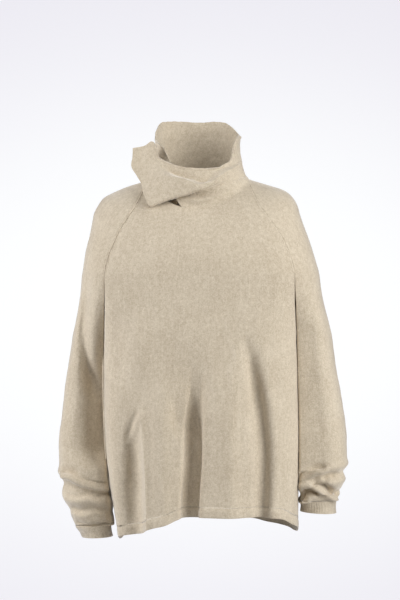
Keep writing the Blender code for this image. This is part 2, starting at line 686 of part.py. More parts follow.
def build_panel(side, collection, mat):
    yoke_part, lower, band = panel(side)
    k = STRIP_COLS
    # seam gaps: raglan edges, underarm edges, side seams, hem seam
    yoke_part = inset(inset(yoke_part, "first", GAP / 2), "last", GAP / 2)
    yoke_part = inset(yoke_part, "top", GAP)
    lower = inset(lower, "bottom", GAP / 2)
    lower = inset(inset(lower, "first", GAP / 2), "last", GAP / 2)
    lower[0, :k + 1, 2] -= GAP * 1.5
    lower[0, -k - 1:, 2] -= GAP * 1.5
    lower[0, :k + 1, 0] -= np.sign(lower[0, :k + 1, 0]) * GAP
    lower[0, -k - 1:, 0] -= np.sign(lower[0, -k - 1:, 0]) * GAP
    yoke_part[-1] = lower[0, k:-k]
    band = inset(inset(band, "first", GAP / 2), "last", GAP / 2)
    band = inset(band, "top", GAP / 2)
    faces = quads(yoke_part, True) + quads(lower, True)
    make_sheet(side, faces, collection, mat)
    make_sheet("hem_band_" + side, quads(band, True), collection, mat)


def build_sleeve(side, collection, mat):
    yoke_part, lower, tube, n_out = sleeve(side)
    flip = side == "left"
    yoke_part = inset(inset(yoke_part, "first", GAP / 2), "last", GAP / 2)
    yoke_part = inset(yoke_part, "top", GAP)
    sign = SIGN[side]
    lower[0, :n_out] = yoke_part[-1]
    lower[0, n_out:, 0] += sign * GAP
    lower[0, n_out:, 2] -= GAP * 1.5
    lower = inset(lower, "bottom", GAP / 2)
    tube = inset(tube, "top", GAP / 2)
    make_sheet("sleeve_" + side, quads(yoke_part, flip) + quads(lower, flip, True),
               collection, mat)
    make_sheet("cuff_" + side, quads(tube, flip, True), collection, mat)


def build_collar(collection, mat):
    rows = collar()
    make_sheet("collar", quads(rows, False), collection, mat)


def main():
    clean_scene()
    collection = bpy.data.collections.new(NAME)
    bpy.context.scene.collection.children.link(collection)
    mat = material()
    for side in ("front", "back"):
        build_panel(side, collection, mat)
    for side in ("left", "right"):
        build_sleeve(side, collection, mat)
    build_collar(collection, mat)


main()
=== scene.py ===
# Visual model of the sweater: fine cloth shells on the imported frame, knit materials, stage.
import bpy
import math
import numpy as np
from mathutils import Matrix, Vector


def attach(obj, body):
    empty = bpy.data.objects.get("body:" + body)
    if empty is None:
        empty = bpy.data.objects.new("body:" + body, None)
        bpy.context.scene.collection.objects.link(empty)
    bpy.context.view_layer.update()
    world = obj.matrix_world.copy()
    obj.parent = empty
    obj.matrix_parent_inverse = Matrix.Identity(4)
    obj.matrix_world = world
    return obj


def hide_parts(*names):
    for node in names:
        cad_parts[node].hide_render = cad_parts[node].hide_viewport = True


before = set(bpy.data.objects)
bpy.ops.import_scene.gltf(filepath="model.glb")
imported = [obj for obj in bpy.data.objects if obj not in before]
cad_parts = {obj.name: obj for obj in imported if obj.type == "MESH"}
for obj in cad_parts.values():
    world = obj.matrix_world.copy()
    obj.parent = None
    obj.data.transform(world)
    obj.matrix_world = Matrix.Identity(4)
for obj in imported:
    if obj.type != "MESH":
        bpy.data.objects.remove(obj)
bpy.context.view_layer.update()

# ---------------------------------------------------------------- named sizes
WALL = 0.003            # felted double-bed knit
GAP = 0.00008           # sewn edges just clear each other
HEM_BAND = 0.018        # height of the lower band
CUFF_HEIGHT = 0.024     # height of a cuff
UNDERARM_DROP = 0.024   # how far the underarm point hangs below the split
BODY_MID_Y = -0.030     # depth of the side seams
BODY_FRONT_COLS = 150
BODY_BACK_COLS = 110
STRIP_COLS = 20
YOKE_ROWS = 66
BODY_ROWS = 170
SLEEVE_OUTER_COLS = 92
SLEEVE_ROWS = 190
COLLAR_COLS = 300

# Yoke rings from the neckline (0) to the underarm (1): outline at each shoulder,
# profile at centre front and centre back, and how square the ring is.
YOKE = [
    # t,    right_x, right_z, left_x, left_z, front_y, front_z, back_y, back_z, power
    (0.00, -0.1160,  0.0165,  0.1180,  0.0190, -0.0930, -0.0450, 0.0780,  0.0300, 2.00),
    (0.12, -0.1485,  0.0063,  0.1500,  0.0095, -0.1035, -0.0610, 0.0900,  0.0160, 2.00),
    (0.23, -0.1758, -0.0053,  0.1790,  0.0000, -0.1115, -0.0770, 0.1000, -0.0030, 2.03),
    (0.34, -0.1968, -0.0168,  0.1960, -0.0120, -0.1180, -0.0930, 0.1080, -0.0250, 2.08),
    (0.45, -0.2094, -0.0336,  0.2085, -0.0310, -0.1230, -0.1080, 0.1130, -0.0490, 2.14),
    (0.56, -0.2178, -0.0504,  0.2150, -0.0530, -0.1270, -0.1220, 0.1170, -0.0740, 2.20),
    (0.67, -0.2222, -0.0740,  0.2222, -0.0740, -0.1300, -0.1350, 0.1200, -0.0990, 2.27),
    (0.78, -0.2272, -0.0987,  0.2312, -0.0980, -0.1325, -0.1480, 0.1222, -0.1240, 2.34),
    (0.89, -0.2346, -0.1281,  0.2411, -0.1281, -0.1343, -0.1620, 0.1235, -0.1480, 2.42),
    (1.00, -0.2409, -0.1701,  0.2535, -0.1701, -0.1352, -0.1790, 0.1240, -0.1760, 2.50),
]

# Raglan seams: distance from the centre line along the yoke rings.
SEAM = [
    # t,   front_right, front_left, back_right, back_left
    (0.00, -0.1080, 0.1080, -0.0950, 0.0950),
    (0.12, -0.1190, 0.1190, -0.1080, 0.1080),
    (0.23, -0.1290, 0.1290, -0.1200, 0.1200),
    (0.34, -0.1400, 0.1400, -0.1310, 0.1310),
    (0.45, -0.1500, 0.1520, -0.1420, 0.1430),
    (0.56, -0.1590, 0.1630, -0.1520, 0.1540),
    (0.67, -0.1670, 0.1730, -0.1610, 0.1650),
    (0.78, -0.1750, 0.1820, -0.1700, 0.1750),
    (0.89, -0.1840, 0.1910, -0.1790, 0.1850),
    (1.00, -0.1910, 0.1990, -0.1860, 0.1940),
]

# Body below the underarm.
BODY = [
    # z,     right_x, left_x, front_y, back_y, power
    (-0.170, -0.1950, 0.2030, -0.1350, 0.1240, 2.60),
    (-0.250, -0.1940, 0.2060, -0.1370, 0.1260, 2.60),
    (-0.330, -0.1950, 0.2070, -0.1380, 0.1280, 2.60),
    (-0.410, -0.1950, 0.2085, -0.1390, 0.1300, 2.60),
    (-0.490, -0.1930, 0.2105, -0.1395, 0.1320, 2.60),
    (-0.560, -0.1890, 0.2110, -0.1400, 0.1330, 2.60),
    (-0.620, -0.1820, 0.2100, -0.1400, 0.1340, 2.60),
    (-0.680, -0.1720, 0.2095, -0.1400, 0.1350, 2.60),
    (-0.740, -0.1640, 0.2110, -0.1400, 0.1350, 2.60),
]

# Lower edge by angle from centre front (0) to centre back (180), wearer's left positive.
HEM = [
    # degrees, z
    (-180, -0.6995), (-150, -0.7020), (-125, -0.7200), (-104, -0.7330), (-90, -0.7250), (-66, -0.7170),
    (-44, -0.7093), (-30, -0.6954), (-21, -0.6880), (-13, -0.6780), (-5, -0.6745),
    (20, -0.6740), (39, -0.6757), (52, -0.6815), (60, -0.6910), (75, -0.7000),
    (90, -0.7080), (104, -0.7170), (125, -0.7120), (150, -0.7020), (180, -0.6995),
]

# Sleeves below the underarm: ring sizes by height.
SLEEVE_RIGHT = [
    # z,     outer_x, inner_x, front_y, back_y, tilt
    (-0.185, -0.2430, -0.1920, -0.0800, 0.0900, 0.20),
    (-0.235, -0.2525, -0.1900, -0.0700, 0.0900, 0.20),
    (-0.300, -0.2605, -0.1880, -0.0620, 0.0850, 0.20),
    (-0.380, -0.2730, -0.1880, -0.0600, 0.0780, 0.18),
    (-0.460, -0.2830, -0.1860, -0.0610, 0.0690, 0.14),
    (-0.540, -0.2905, -0.1840, -0.0660, 0.0580, 0.08),
    (-0.590, -0.2885, -0.1830, -0.0690, 0.0500, 0.00),
    (-0.640, -0.2790, -0.1830, -0.0680, 0.0420, -0.04),
    (-0.680, -0.2640, -0.1820, -0.0620, 0.0300, -0.06),
    (-0.701, -0.2550, -0.1810, -0.0560, 0.0200, -0.06),
]
SLEEVE_LEFT = [
    # z,     outer_x, inner_x, front_y, back_y, tilt
    (-0.185, 0.2560, 0.2000, -0.0800, 0.0900, 0.20),
    (-0.235, 0.2670, 0.2010, -0.0700, 0.0900, 0.20),
    (-0.300, 0.2795, 0.2010, -0.0620, 0.0850, 0.20),
    (-0.380, 0.2910, 0.2020, -0.0600, 0.0780, 0.18),
    (-0.460, 0.3050, 0.2040, -0.0610, 0.0690, 0.14),
    (-0.530, 0.3130, 0.2060, -0.0660, 0.0580, 0.08),
    (-0.575, 0.3115, 0.2080, -0.0700, 0.0500, 0.04),
    (-0.610, 0.3035, 0.2090, -0.0700, 0.0440, 0.00),
    (-0.635, 0.2990, 0.2160, -0.0640, 0.0360, 0.00),
    (-0.650, 0.2900, 0.2150, -0.0590, 0.0280, 0.04),
]
SLEEVE_END = {"right": -0.701, "left": -0.650}
CUFF = {
    # end height, outer_x, inner_x, front_y, back_y, tilt of the open edge
    "right": (-0.7245, -0.2420, -0.1770, -0.0560, 0.0180, -0.03),
    "left": (-0.6735, 0.2900, 0.2140, -0.0600, 0.0270, -0.05),
}

# Collar: the lines that run round it, from the neckline up, each as angle from
# centre front (wearer's left positive), radius from the neck axis and height.
# The strip starts at the slit at the wearer's right front and runs by the front,
# the left and the back to the right again, where it ends under its own start.
COLLAR_INNER_FOLD = [
    # degrees, radius, z
    (-36, 0.1010, 0.0010), (-20, 0.0930, -0.0020), (0, 0.0890, -0.0080), (20, 0.0890, 0.0000),
    (40, 0.0920, 0.0130), (65, 0.0980, 0.0230), (90, 0.1020, 0.0290), (130, 0.0900, 0.0440),
    (180, 0.0790, 0.0520), (230, 0.0880, 0.0440), (265, 0.0960, 0.0340), (300, 0.0900, 0.0240),
    (330, 0.0860, 0.0000),
]
COLLAR_RIM = [
    (-46, 0.1330, -0.0390), (-40, 0.1210, -0.0325), (-33, 0.1090, -0.0268), (-26, 0.1050, -0.0225),
    (-10, 0.1010, -0.0150), (4, 0.0990, -0.0060), (17, 0.0970, 0.0045), (33, 0.0960, 0.0205),
    (52, 0.0955, 0.0335), (72, 0.0955, 0.0430), (90, 0.0950, 0.0480), (130, 0.0900, 0.0650),
    (180, 0.0830, 0.0760), (230, 0.0880, 0.0680), (265, 0.0920, 0.0540), (300, 0.0860, 0.0420),
    (324, 0.0820, 0.0200),
]
COLLAR_ROLL = [
    (-63, 0.1310, 0.0090), (-55, 0.1210, 0.0140), (-45, 0.1120, 0.0215), (-33, 0.1070, 0.0225),
    (-15, 0.1030, 0.0175), (4, 0.1010, 0.0070), (17, 0.0980, 0.0135), (33, 0.0965, 0.0295),
    (52, 0.0955, 0.0430), (72, 0.0935, 0.0545), (90, 0.0925, 0.0620), (130, 0.0920, 0.0850),
    (180, 0.0870, 0.0980), (230, 0.0910, 0.0860), (265, 0.0890, 0.0680), (295, 0.0840, 0.0560),
    (320, 0.0800, 0.0400),
]
COLLAR_VALLEY = [
    (-72, 0.1450, 0.0474), (-67, 0.1210, 0.0503), (-60, 0.1060, 0.0560), (-53, 0.0985, 0.0520),
    (-38, 0.0880, 0.0330), (-22, 0.0860, 0.0225), (-8, 0.0870, 0.0180), (5, 0.0880, 0.0090),
    (15, 0.0860, 0.0170), (23, 0.0850, 0.0312), (32, 0.0860, 0.0375), (56, 0.0890, 0.0480),
    (75, 0.0880, 0.0620), (92, 0.0900, 0.0780), (130, 0.0930, 0.1080), (180, 0.0890, 0.1210),
    (230, 0.0930, 0.1080), (265, 0.0890, 0.0860), (290, 0.0830, 0.0700), (312, 0.0780, 0.0560),
]
COLLAR_EDGE = [
    (-75, 0.1400, 0.0853), (-71, 0.1180, 0.0896), (-66, 0.1060, 0.0985), (-63, 0.1020, 0.0960),
    (-58, 0.1000, 0.0700), (-53, 0.0960, 0.0620), (-39, 0.0880, 0.0508), (-18, 0.0835, 0.0425),
    (5, 0.0825, 0.0405), (31, 0.0860, 0.0425), (40, 0.0850, 0.0490), (58, 0.0840, 0.0660),
    (66, 0.0820, 0.0880), (78, 0.0850, 0.1075), (108, 0.0960, 0.1140), (141, 0.0960, 0.1466),
    (180, 0.0920, 0.1490), (214, 0.1010, 0.1503), (233, 0.1000, 0.1456), (258, 0.0930, 0.1080),
    (275, 0.0870, 0.1000), (296, 0.0800, 0.0860),
]

# Soft folds of the front and back: centre line (x, z) at the top and bottom,
# half width there, and depth (negative = into the cloth).
BODY_FOLDS = [
    # side, top_x, top_z, low_x, low_z, top_w, low_w, depth, bend
    ("front", 0.0150, -0.330, -0.0170, -0.700, 0.012, 0.012, -0.0120, -0.006),
    ("front", 0.1080, -0.290, 0.1300, -0.700, 0.014, 0.017, -0.0075, 0.006),
    ("front", 0.0520, -0.360, 0.0600, -0.700, 0.026, 0.034, 0.0050, 0.0),
    ("front", -0.0660, -0.380, -0.0700, -0.700, 0.022, 0.028, 0.0050, 0.0),
    ("front", -0.1330, -0.460, -0.1370, -0.720, 0.014, 0.020, -0.0090, 0.0),
    ("back", -0.0450, -0.260, -0.0600, -0.740, 0.018, 0.022, -0.0090, 0.004),
    ("back", 0.0500, -0.300, 0.0700, -0.740, 0.018, 0.022, -0.0090, -0.004),
    ("back", 0.1350, -0.360, 0.1450, -0.740, 0.016, 0.020, -0.0060, 0.0),
    ("back", -0.1300, -0.340, -0.1350, -0.740, 0.016, 0.020, -0.0060, 0.0),
    ("back", 0.0050, -0.300, 0.0050, -0.740, 0.020, 0.030, 0.0050, 0.0),
]

# Rolls of the pushed-down sleeve ends: height at the outer and inner side,
# half width and height of the roll.
SLEEVE_ROLLS = {
    "right": [
        # outer_z, inner_z, half_width, size
        (-0.590, -0.614, 0.010, 0.0050),
        (-0.612, -0.634, 0.010, -0.0050),
        (-0.640, -0.650, 0.011, 0.0035),
        (-0.668, -0.672, 0.009, -0.0030),
    ],
    "left": [
        (-0.572, -0.590, 0.008, 0.0040),
        (-0.588, -0.606, 0.007, -0.0045),
        (-0.606, -0.620, 0.008, 0.0045),
        (-0.628, -0.636, 0.007, -0.0040),
    ],
}


# ---------------------------------------------------------------- shape helpers
def column(table, index):
    return np.array([row[index] for row in table], dtype=float)


def smooth(xs, ys, x):
    """Smooth curve through the table values (finite-difference tangents)."""
    xs = np.asarray(xs, float)
    ys = np.asarray(ys, float)
    x = np.clip(np.asarray(x, float), xs[0], xs[-1])
    h = np.diff(xs)
    d = np.diff(ys) / h
    m = np.empty(len(xs))
    m[0], m[-1] = d[0], d[-1]
    m[1:-1] = (d[:-1] * h[1:] + d[1:] * h[:-1]) / (h[1:] + h[:-1])
    k = np.clip(np.searchsorted(xs, x, side="right") - 1, 0, len(xs) - 2)
    t = (x - xs[k]) / h[k]
    return ((2 * t**3 - 3 * t**2 + 1) * ys[k] + (t**3 - 2 * t**2 + t) * h[k] * m[k]
            + (3 * t**2 - 2 * t**3) * ys[k + 1] + (t**3 - t**2) * h[k] * m[k + 1])


def ease(a, b, x):
    t = np.clip((np.asarray(x, float) - a) / (b - a), 0.0, 1.0)
    return t * t * (3 - 2 * t)


def look(table, index, x, key=0):
    return smooth(column(table, key), column(table, index), x)


def ring(theta, right, left, front, back, power, mid=0.0):
    """Rounded-box ring: points at angle theta, 0 = front, positive = +X."""
    s, c = np.sin(theta), np.cos(theta)
    q = (np.abs(s) ** power + np.abs(c) ** power) ** (-1.0 / power)
    x = np.where(s >= 0, left, -right) * q * s
    y = mid + np.where(c >= 0, front - mid, -(back - mid)) * q * c
    return x, y


def yoke(t, theta):
    right, rz = look(YOKE, 1, t), look(YOKE, 2, t)
    left, lz = look(YOKE, 3, t), look(YOKE, 4, t)
    front, fz = look(YOKE, 5, t), look(YOKE, 6, t)
    back, bz = look(YOKE, 7, t), look(YOKE, 8, t)
    power = look(YOKE, 9, t)
    x, y = ring(theta, right, left, front, back, power)
    s, c = np.sin(theta), np.cos(theta)
    side = np.where(s >= 0, lz, rz)
    mid = np.where(c >= 0, fz, bz)
    return np.stack([x, y, side * s * s + mid * c * c], -1)


def body_ring(z, psi):
    right, left = look(BODY, 1, -z, 6), look(BODY, 2, -z, 6)
    front, back = look(BODY, 3, -z, 6), look(BODY, 4, -z, 6)
    power = look(BODY, 5, -z, 6)
    return ring(psi, right, left, front, back, power, BODY_MID_Y)


BODY = [row + (-row[0],) for row in BODY]
SLEEVE_TABLES = {"right": [row + (-row[0],) for row in SLEEVE_RIGHT],
                 "left": [row + (-row[0],) for row in SLEEVE_LEFT]}
SIGN = {"right": -1.0, "left": 1.0}
DENSE = np.radians(np.linspace(-180.0, 180.0, 1441))


def seam_angle(t, name):
    """Angle on the yoke ring where a raglan seam crosses it."""
    index = {"front_right": 1, "front_left": 2, "back_right": 3, "back_left": 4}[name]
    target = float(look(SEAM, index, t))
    pts = yoke(np.full(DENSE.shape, t), DENSE)
    if name.startswith("front"):
        pick = np.abs(DENSE) <= math.pi / 2
    elif name.endswith("left"):
        pick = DENSE >= math.pi / 2
    else:
        pick = DENSE <= -math.pi / 2
    xs, an = pts[pick][:, 0], DENSE[pick]
    order = np.argsort(xs)
    return float(np.interp(target, xs[order], an[order]))


def hem_z(psi):
    return smooth(column(HEM, 0), column(HEM, 1), np.degrees(psi))


def underarm(side, count):
    """Curve under the arm from the front split point to the back one."""
    front = yoke(1.0, seam_angle(1.0, "front_" + side))
    back = yoke(1.0, seam_angle(1.0, "back_" + side))
    s = np.linspace(0.0, 1.0, count)
    x = front[0] + (back[0] - front[0]) * s
    y = front[1] + (back[1] - front[1]) * s
    z = front[2] + (back[2] - front[2]) * s - UNDERARM_DROP * np.sin(np.pi * s) ** 1.0
    x = x + SIGN[side] * 0.004 * np.sin(np.pi * s)
    return np.stack([x, y, z], -1)


def spaced(count, strip):
    """0..1 with a narrow cell at both ends."""
    edge = np.array([0.0, 0.0025, 0.005, 0.0075, 0.010, 0.0125, 0.016, 0.020])
    inner = np.linspace(0.025, 0.975, count - 15)
    return np.concatenate([edge, inner, 1.0 - edge[::-1]])


def roll_field(pts, normal, folds, side):
    """Push points along their normals by the folds of one side."""
    out = pts.copy()
    for row in folds:
        if row[0] != side:
            continue
        _, tx, tz, lx, lz, tw, lw, depth, bend = row
        k = np.clip((pts[..., 2] - tz) / (lz - tz), -0.2, 1.2)
        line = tx + (lx - tx) * k + bend * 4.0 * k * (1.0 - k)
        width = tw + (lw - tw) * np.clip(k, 0, 1)
        amount = depth * ease(0.0, 0.45, k) * np.exp(-((pts[..., 0] - line) / width) ** 2)
        out += normal * amount[..., None]
    return out


def grid_normals(pts, sign):
    du = np.gradient(pts, axis=1)
    dv = np.gradient(pts, axis=0)
    n = np.cross(du, dv)
    n /= np.maximum(np.linalg.norm(n, axis=-1, keepdims=True), 1e-12)
    return n * sign


# ---------------------------------------------------------------- body panels
def body_columns(side):
    """Fraction for each column of a panel, and the yoke angles of its two seams at the split."""
    count = BODY_FRONT_COLS if side == "front" else BODY_BACK_COLS
    frac = spaced(count, 0.012)
    a = seam_angle(1.0, side + "_right")
    b = seam_angle(1.0, side + "_left")
    if side == "back":
        a, b = b, a + 2 * math.pi
    return frac, a, b


def panel(side):
    """Yoke part and lower part of the front or back as rows of points."""
    frac, a, b = body_columns(side)
    rows = []
    for t in spaced(YOKE_ROWS, 0.03):
        ta = seam_angle(t, side + "_right")
        tb = seam_angle(t, side + "_left")
        if side == "back":
            ta, tb = tb, ta + 2 * math.pi
        rows.append(yoke(np.full(frac.shape, t), ta + (tb - ta) * frac))
    yoke_part = np.array(rows)

    # split row: strip from the side seam, the panel, strip to the other side seam
    first, last = ("right", "left") if side == "front" else ("left", "right")
    n_arc = 2 * STRIP_COLS + 1
    arcs = {}
    for name in ("right", "left"):
        curve = underarm(name, n_arc)
        arcs[name] = curve[:STRIP_COLS + 1] if side == "front" else curve[STRIP_COLS:]
    if side == "front":
        left_strip = arcs["right"][::-1]      # side seam -> split point
        right_strip = arcs["left"]            # split point -> side seam
    else:
        left_strip = arcs["left"]             # side seam -> split point
        right_strip = arcs["right"][::-1]     # split point -> side seam
    split = np.concatenate([left_strip[:-1], yoke_part[-1], right_strip[1:]])

    # body angles for the columns: match x at the split
    z0 = np.full(DENSE.shape, -0.20)
    bx, _ = body_ring(z0, DENSE)
    if side == "front":
        pick = np.abs(DENSE) <= math.radians(74)
        psi_mid = np.interp(yoke_part[-1][:, 0], bx[pick], DENSE[pick])
        psi_a = np.linspace(-math.pi / 2, psi_mid[0], STRIP_COLS + 1)[:-1]
        psi_b = np.linspace(psi_mid[-1], math.pi / 2, STRIP_COLS + 1)[1:]
    else:
        wide = np.where(DENSE < 0, DENSE + 2 * math.pi, DENSE)
        order = np.argsort(wide)
        wide, bx = wide[order], bx[order]
        pick = np.abs(wide - math.pi) <= math.radians(74)
        psi_mid = np.interp(-yoke_part[-1][:, 0], -bx[pick], wide[pick])
        psi_a = np.linspace(math.pi / 2, psi_mid[0], STRIP_COLS + 1)[:-1]
        psi_b = np.linspace(psi_mid[-1], 1.5 * math.pi, STRIP_COLS + 1)[1:]
    psi = np.concatenate([psi_a, psi_mid, psi_b])
    low = hem_z(np.where(psi > math.pi, psi - 2 * math.pi, psi))

    rows = []
    for v in np.concatenate([np.linspace(0.0, 1.0, BODY_ROWS)[:-1], [0.992, 1.0]]):
        z = split[:, 2] + (low + HEM_BAND - split[:, 2]) * v
        x, y = body_ring(z, psi)
        k = ease(0.0, 0.30, v)
        rows.append(np.stack([split[:, 0] * (1 - k) + x * k,
                              split[:, 1] * (1 - k) + y * k, z], -1))
    lower = np.array(rows)
    rows = []
    for v in (0.0, 0.06, 0.5, 1.0):
        z = low + HEM_BAND * (1.0 - v)
        x, y = body_ring(z, psi)
        rows.append(np.stack([x, y, z], -1))
    band = np.array(rows)
    both = np.concatenate([lower, band[1:]])
    both = roll_field(both, grid_normals(both, -1.0), BODY_FOLDS, side)
    lower, band = both[:len(lower)], both[len(lower) - 1:]
    return yoke_part, lower, band


def finer(rows, times):
    """Points between the grid points, on the same facets."""
    out = np.asarray(rows)
    for axis in (0, 1):
        n = out.shape[axis]
        at = np.linspace(0, n - 1, (n - 1) * times + 1)
        low = np.minimum(at.astype(int), n - 2)
        part = (at - low).reshape((-1, 1, 1) if axis == 0 else (1, -1, 1))
        out = np.take(out, low, axis) * (1 - part) + np.take(out, low + 1, axis) * part
    return out


REACH_CELL = 0.0025
REACH_Y = np.arange(-0.18, 0.18, REACH_CELL)
REACH_Z = np.arange(-0.80, -0.10, REACH_CELL)


def reach_map(side):
    """How far out the body reaches for each depth and height cell (side view)."""
    sign = SIGN[side]
    reach = np.zeros((len(REACH_Y), len(REACH_Z)))
    for name in ("front", "back"):
        _, lower, band = panel(name)
        pts = finer(np.concatenate([lower, band[1:]]), 2).reshape(-1, 3)
        pts = pts[pts[:, 0] * sign > 0.10]
        iy = np.clip(((pts[:, 1] - REACH_Y[0]) / REACH_CELL).astype(int), 0, len(REACH_Y) - 2)
        iz = np.clip(((pts[:, 2] - REACH_Z[0]) / REACH_CELL).astype(int), 0, len(REACH_Z) - 2)
        for dy in (0, 1):
            for dz in (0, 1):
                np.maximum.at(reach, (iy + dy, iz + dz), pts[:, 0] * sign)
    return reach


REACH = {}


def body_half(side, y, z):
    """How far out the body reaches at a given depth and height (side view)."""
    if side not in REACH:
        REACH[side] = reach_map(side)
    fy = np.clip((y - REACH_Y[0]) / REACH_CELL, 0, len(REACH_Y) - 1.001)
    fz = np.clip((z - REACH_Z[0]) / REACH_CELL, 0, len(REACH_Z) - 1.001)
    iy, iz = fy.astype(int), fz.astype(int)
    py, pz = fy - iy, fz - iz
    m = REACH[side]
    return SIGN[side] * (m[iy, iz] * (1 - py) * (1 - pz) + m[iy + 1, iz] * py * (1 - pz)
                         + m[iy, iz + 1] * (1 - py) * pz + m[iy + 1, iz + 1] * py * pz)


# ---------------------------------------------------------------- sleeves
SQUARE = {"right": 1.0, "left": 4.0}


def sleeve(side):
    sign = SIGN[side]
    frac = spaced(SLEEVE_OUTER_COLS, 0.025)
    rows = []
    for t in spaced(YOKE_ROWS, 0.03):
        a = seam_angle(t, "front_" + side)
        b = seam_angle(t, "back_" + side)
        rows.append(yoke(np.full(frac.shape, t), a + (b - a) * frac))
    yoke_part = np.array(rows)
    inner = underarm(side, 2 * STRIP_COLS + 1)[::-1]       # back split -> front split
    split = np.concatenate([yoke_part[-1], inner[1:-1]])    # closed ring
    n_out = len(frac)
    table = SLEEVE_TABLES[side]
    end = SLEEVE_END[side]
    corner = math.radians(128.0)
    phi = np.concatenate([-corner + 2 * corner * frac,
                          np.linspace(corner, 2 * math.pi - corner, 2 * STRIP_COLS + 1)[1:-1]])
    centre = split.mean(0)

    def section(zc):
        outer, inside = look(table, 1, -zc, 6), look(table, 2, -zc, 6)
        front, back = look(table, 3, -zc, 6), look(table, 4, -zc, 6)
        tilt = look(table, 5, -zc, 6)
        a = abs(outer - inside) / 2
        # squarer where the front of the arm meets the body
        p = 2.0 + SQUARE[side] * ease(0.15, -0.5, np.cos(phi)) * ease(0.2, -0.5, np.sin(phi))
        q = (np.abs(np.cos(phi)) ** p + np.abs(np.sin(phi)) ** p) ** (-1.0 / p)
        x = (outer + inside) / 2 + sign * a * np.cos(phi) * q
        y = (front + back) / 2 + (back - front) / 2 * np.sin(phi) * q
        z = zc + tilt * a * np.cos(phi)
        return np.stack([x, y, z], -1)

    start = -0.185
    rows = [split]
    for v in np.concatenate([np.linspace(0.0, 1.0, SLEEVE_ROWS)[1:-1], [0.99, 1.0]]):
        zc = start + (end - start) * v
        k = ease(0.0, 0.26, v)
        shape = section(zc)
        mid = shape.mean(0)
        pts = mid + (split - centre) * (1 - k) + (shape - mid) * k
        rows.append(pts)
    lower = np.array(rows)
    lower = shape_sleeve(lower, side)
    # clear of the body
    for r in range(1, len(lower)):
        lower[r] = clear_body(lower[r], side, 0.0004)
        soft = 0.5 * lower[r] + 0.25 * np.roll(lower[r], 1, 0) + 0.25 * np.roll(lower[r], -1, 0)
        part = 1.0 - ease(0.30, 0.45, r / (len(lower) - 1))
        lower[r] = clear_body(lower[r] * (1 - part) + soft * part, side, 0.0004)
    cz, outer, inside, front, back, tilt = CUFF[side]
    top = lower[-1]
    a = abs(outer - inside) / 2
    bottom = np.stack([(outer + inside) / 2 + sign * a * np.cos(phi),
                       (front + back) / 2 + (back - front) / 2 * np.sin(phi),
                       cz + tilt * a * np.cos(phi)], -1)
    tube = []
    for v in (0.0, 0.08, 0.55, 1.0):
        pinch = 1.0 - 0.03 * math.sin(math.pi * v)
        pts = top * (1 - v) + bottom * v
        mid = pts.mean(0)
        row = pts.copy()
        row[:, :2] = mid[:2] + (pts[:, :2] - mid[:2]) * pinch
        tube.append(row)
    tube = np.array(tube)
    for r in range(len(tube)):
        tube[r] = clear_body(tube[r], side, 0.0010)
    # the seam between sleeve and cuff runs straight down
    tube[1][:, :2] = tube[0][:, :2]
    lower[-1] = tube[0]
    lower[-2][:, :2] = tube[0][:, :2]
    return yoke_part, lower, tube, n_out


def clear_body(pts, side, clear):
    sign = SIGN[side]
    out = pts.copy()
    limit = body_half(side, out[:, 1], out[:, 2]) + sign * clear
    inward = sign * (limit - out[:, 0])
    out[:, 0] = np.where(inward > 0, limit, out[:, 0])
    return out


def shape_sleeve(rows, side):
    """Rolls where the long sleeve is pushed down over the hand."""
    sign = SIGN[side]
    out = rows.copy()
    mid = rows.mean(1, keepdims=True)
    radial = rows - mid
    radial[..., 2] = 0.0
    length = np.maximum(np.linalg.norm(radial, axis=-1, keepdims=True), 1e-9)
    radial = radial / length
    for outer_z, inner_z, width, size in SLEEVE_ROLLS[side]:
        across = np.clip(0.5 + 0.5 * sign * radial[..., 0], 0.0, 1.0)
        line = inner_z + (outer_z - inner_z) * across
        amount = size * np.exp(-((rows[..., 2] - line) / width) ** 2)
        out += radial * amount[..., None]
    return out


# ---------------------------------------------------------------- collar
def neckline(angle):
    wrapped = (angle + math.pi) % (2 * math.pi) - math.pi
    pts = yoke(np.zeros(wrapped.shape), wrapped)
    return pts


def line_at(table, u):
    """Point of a collar line at fraction u of its way round."""
    deg = column(table, 0)
    a = deg[0] + (deg[-1] - deg[0]) * u
    return np.radians(a), smooth(deg, column(table, 1), a), smooth(deg, column(table, 2), a)


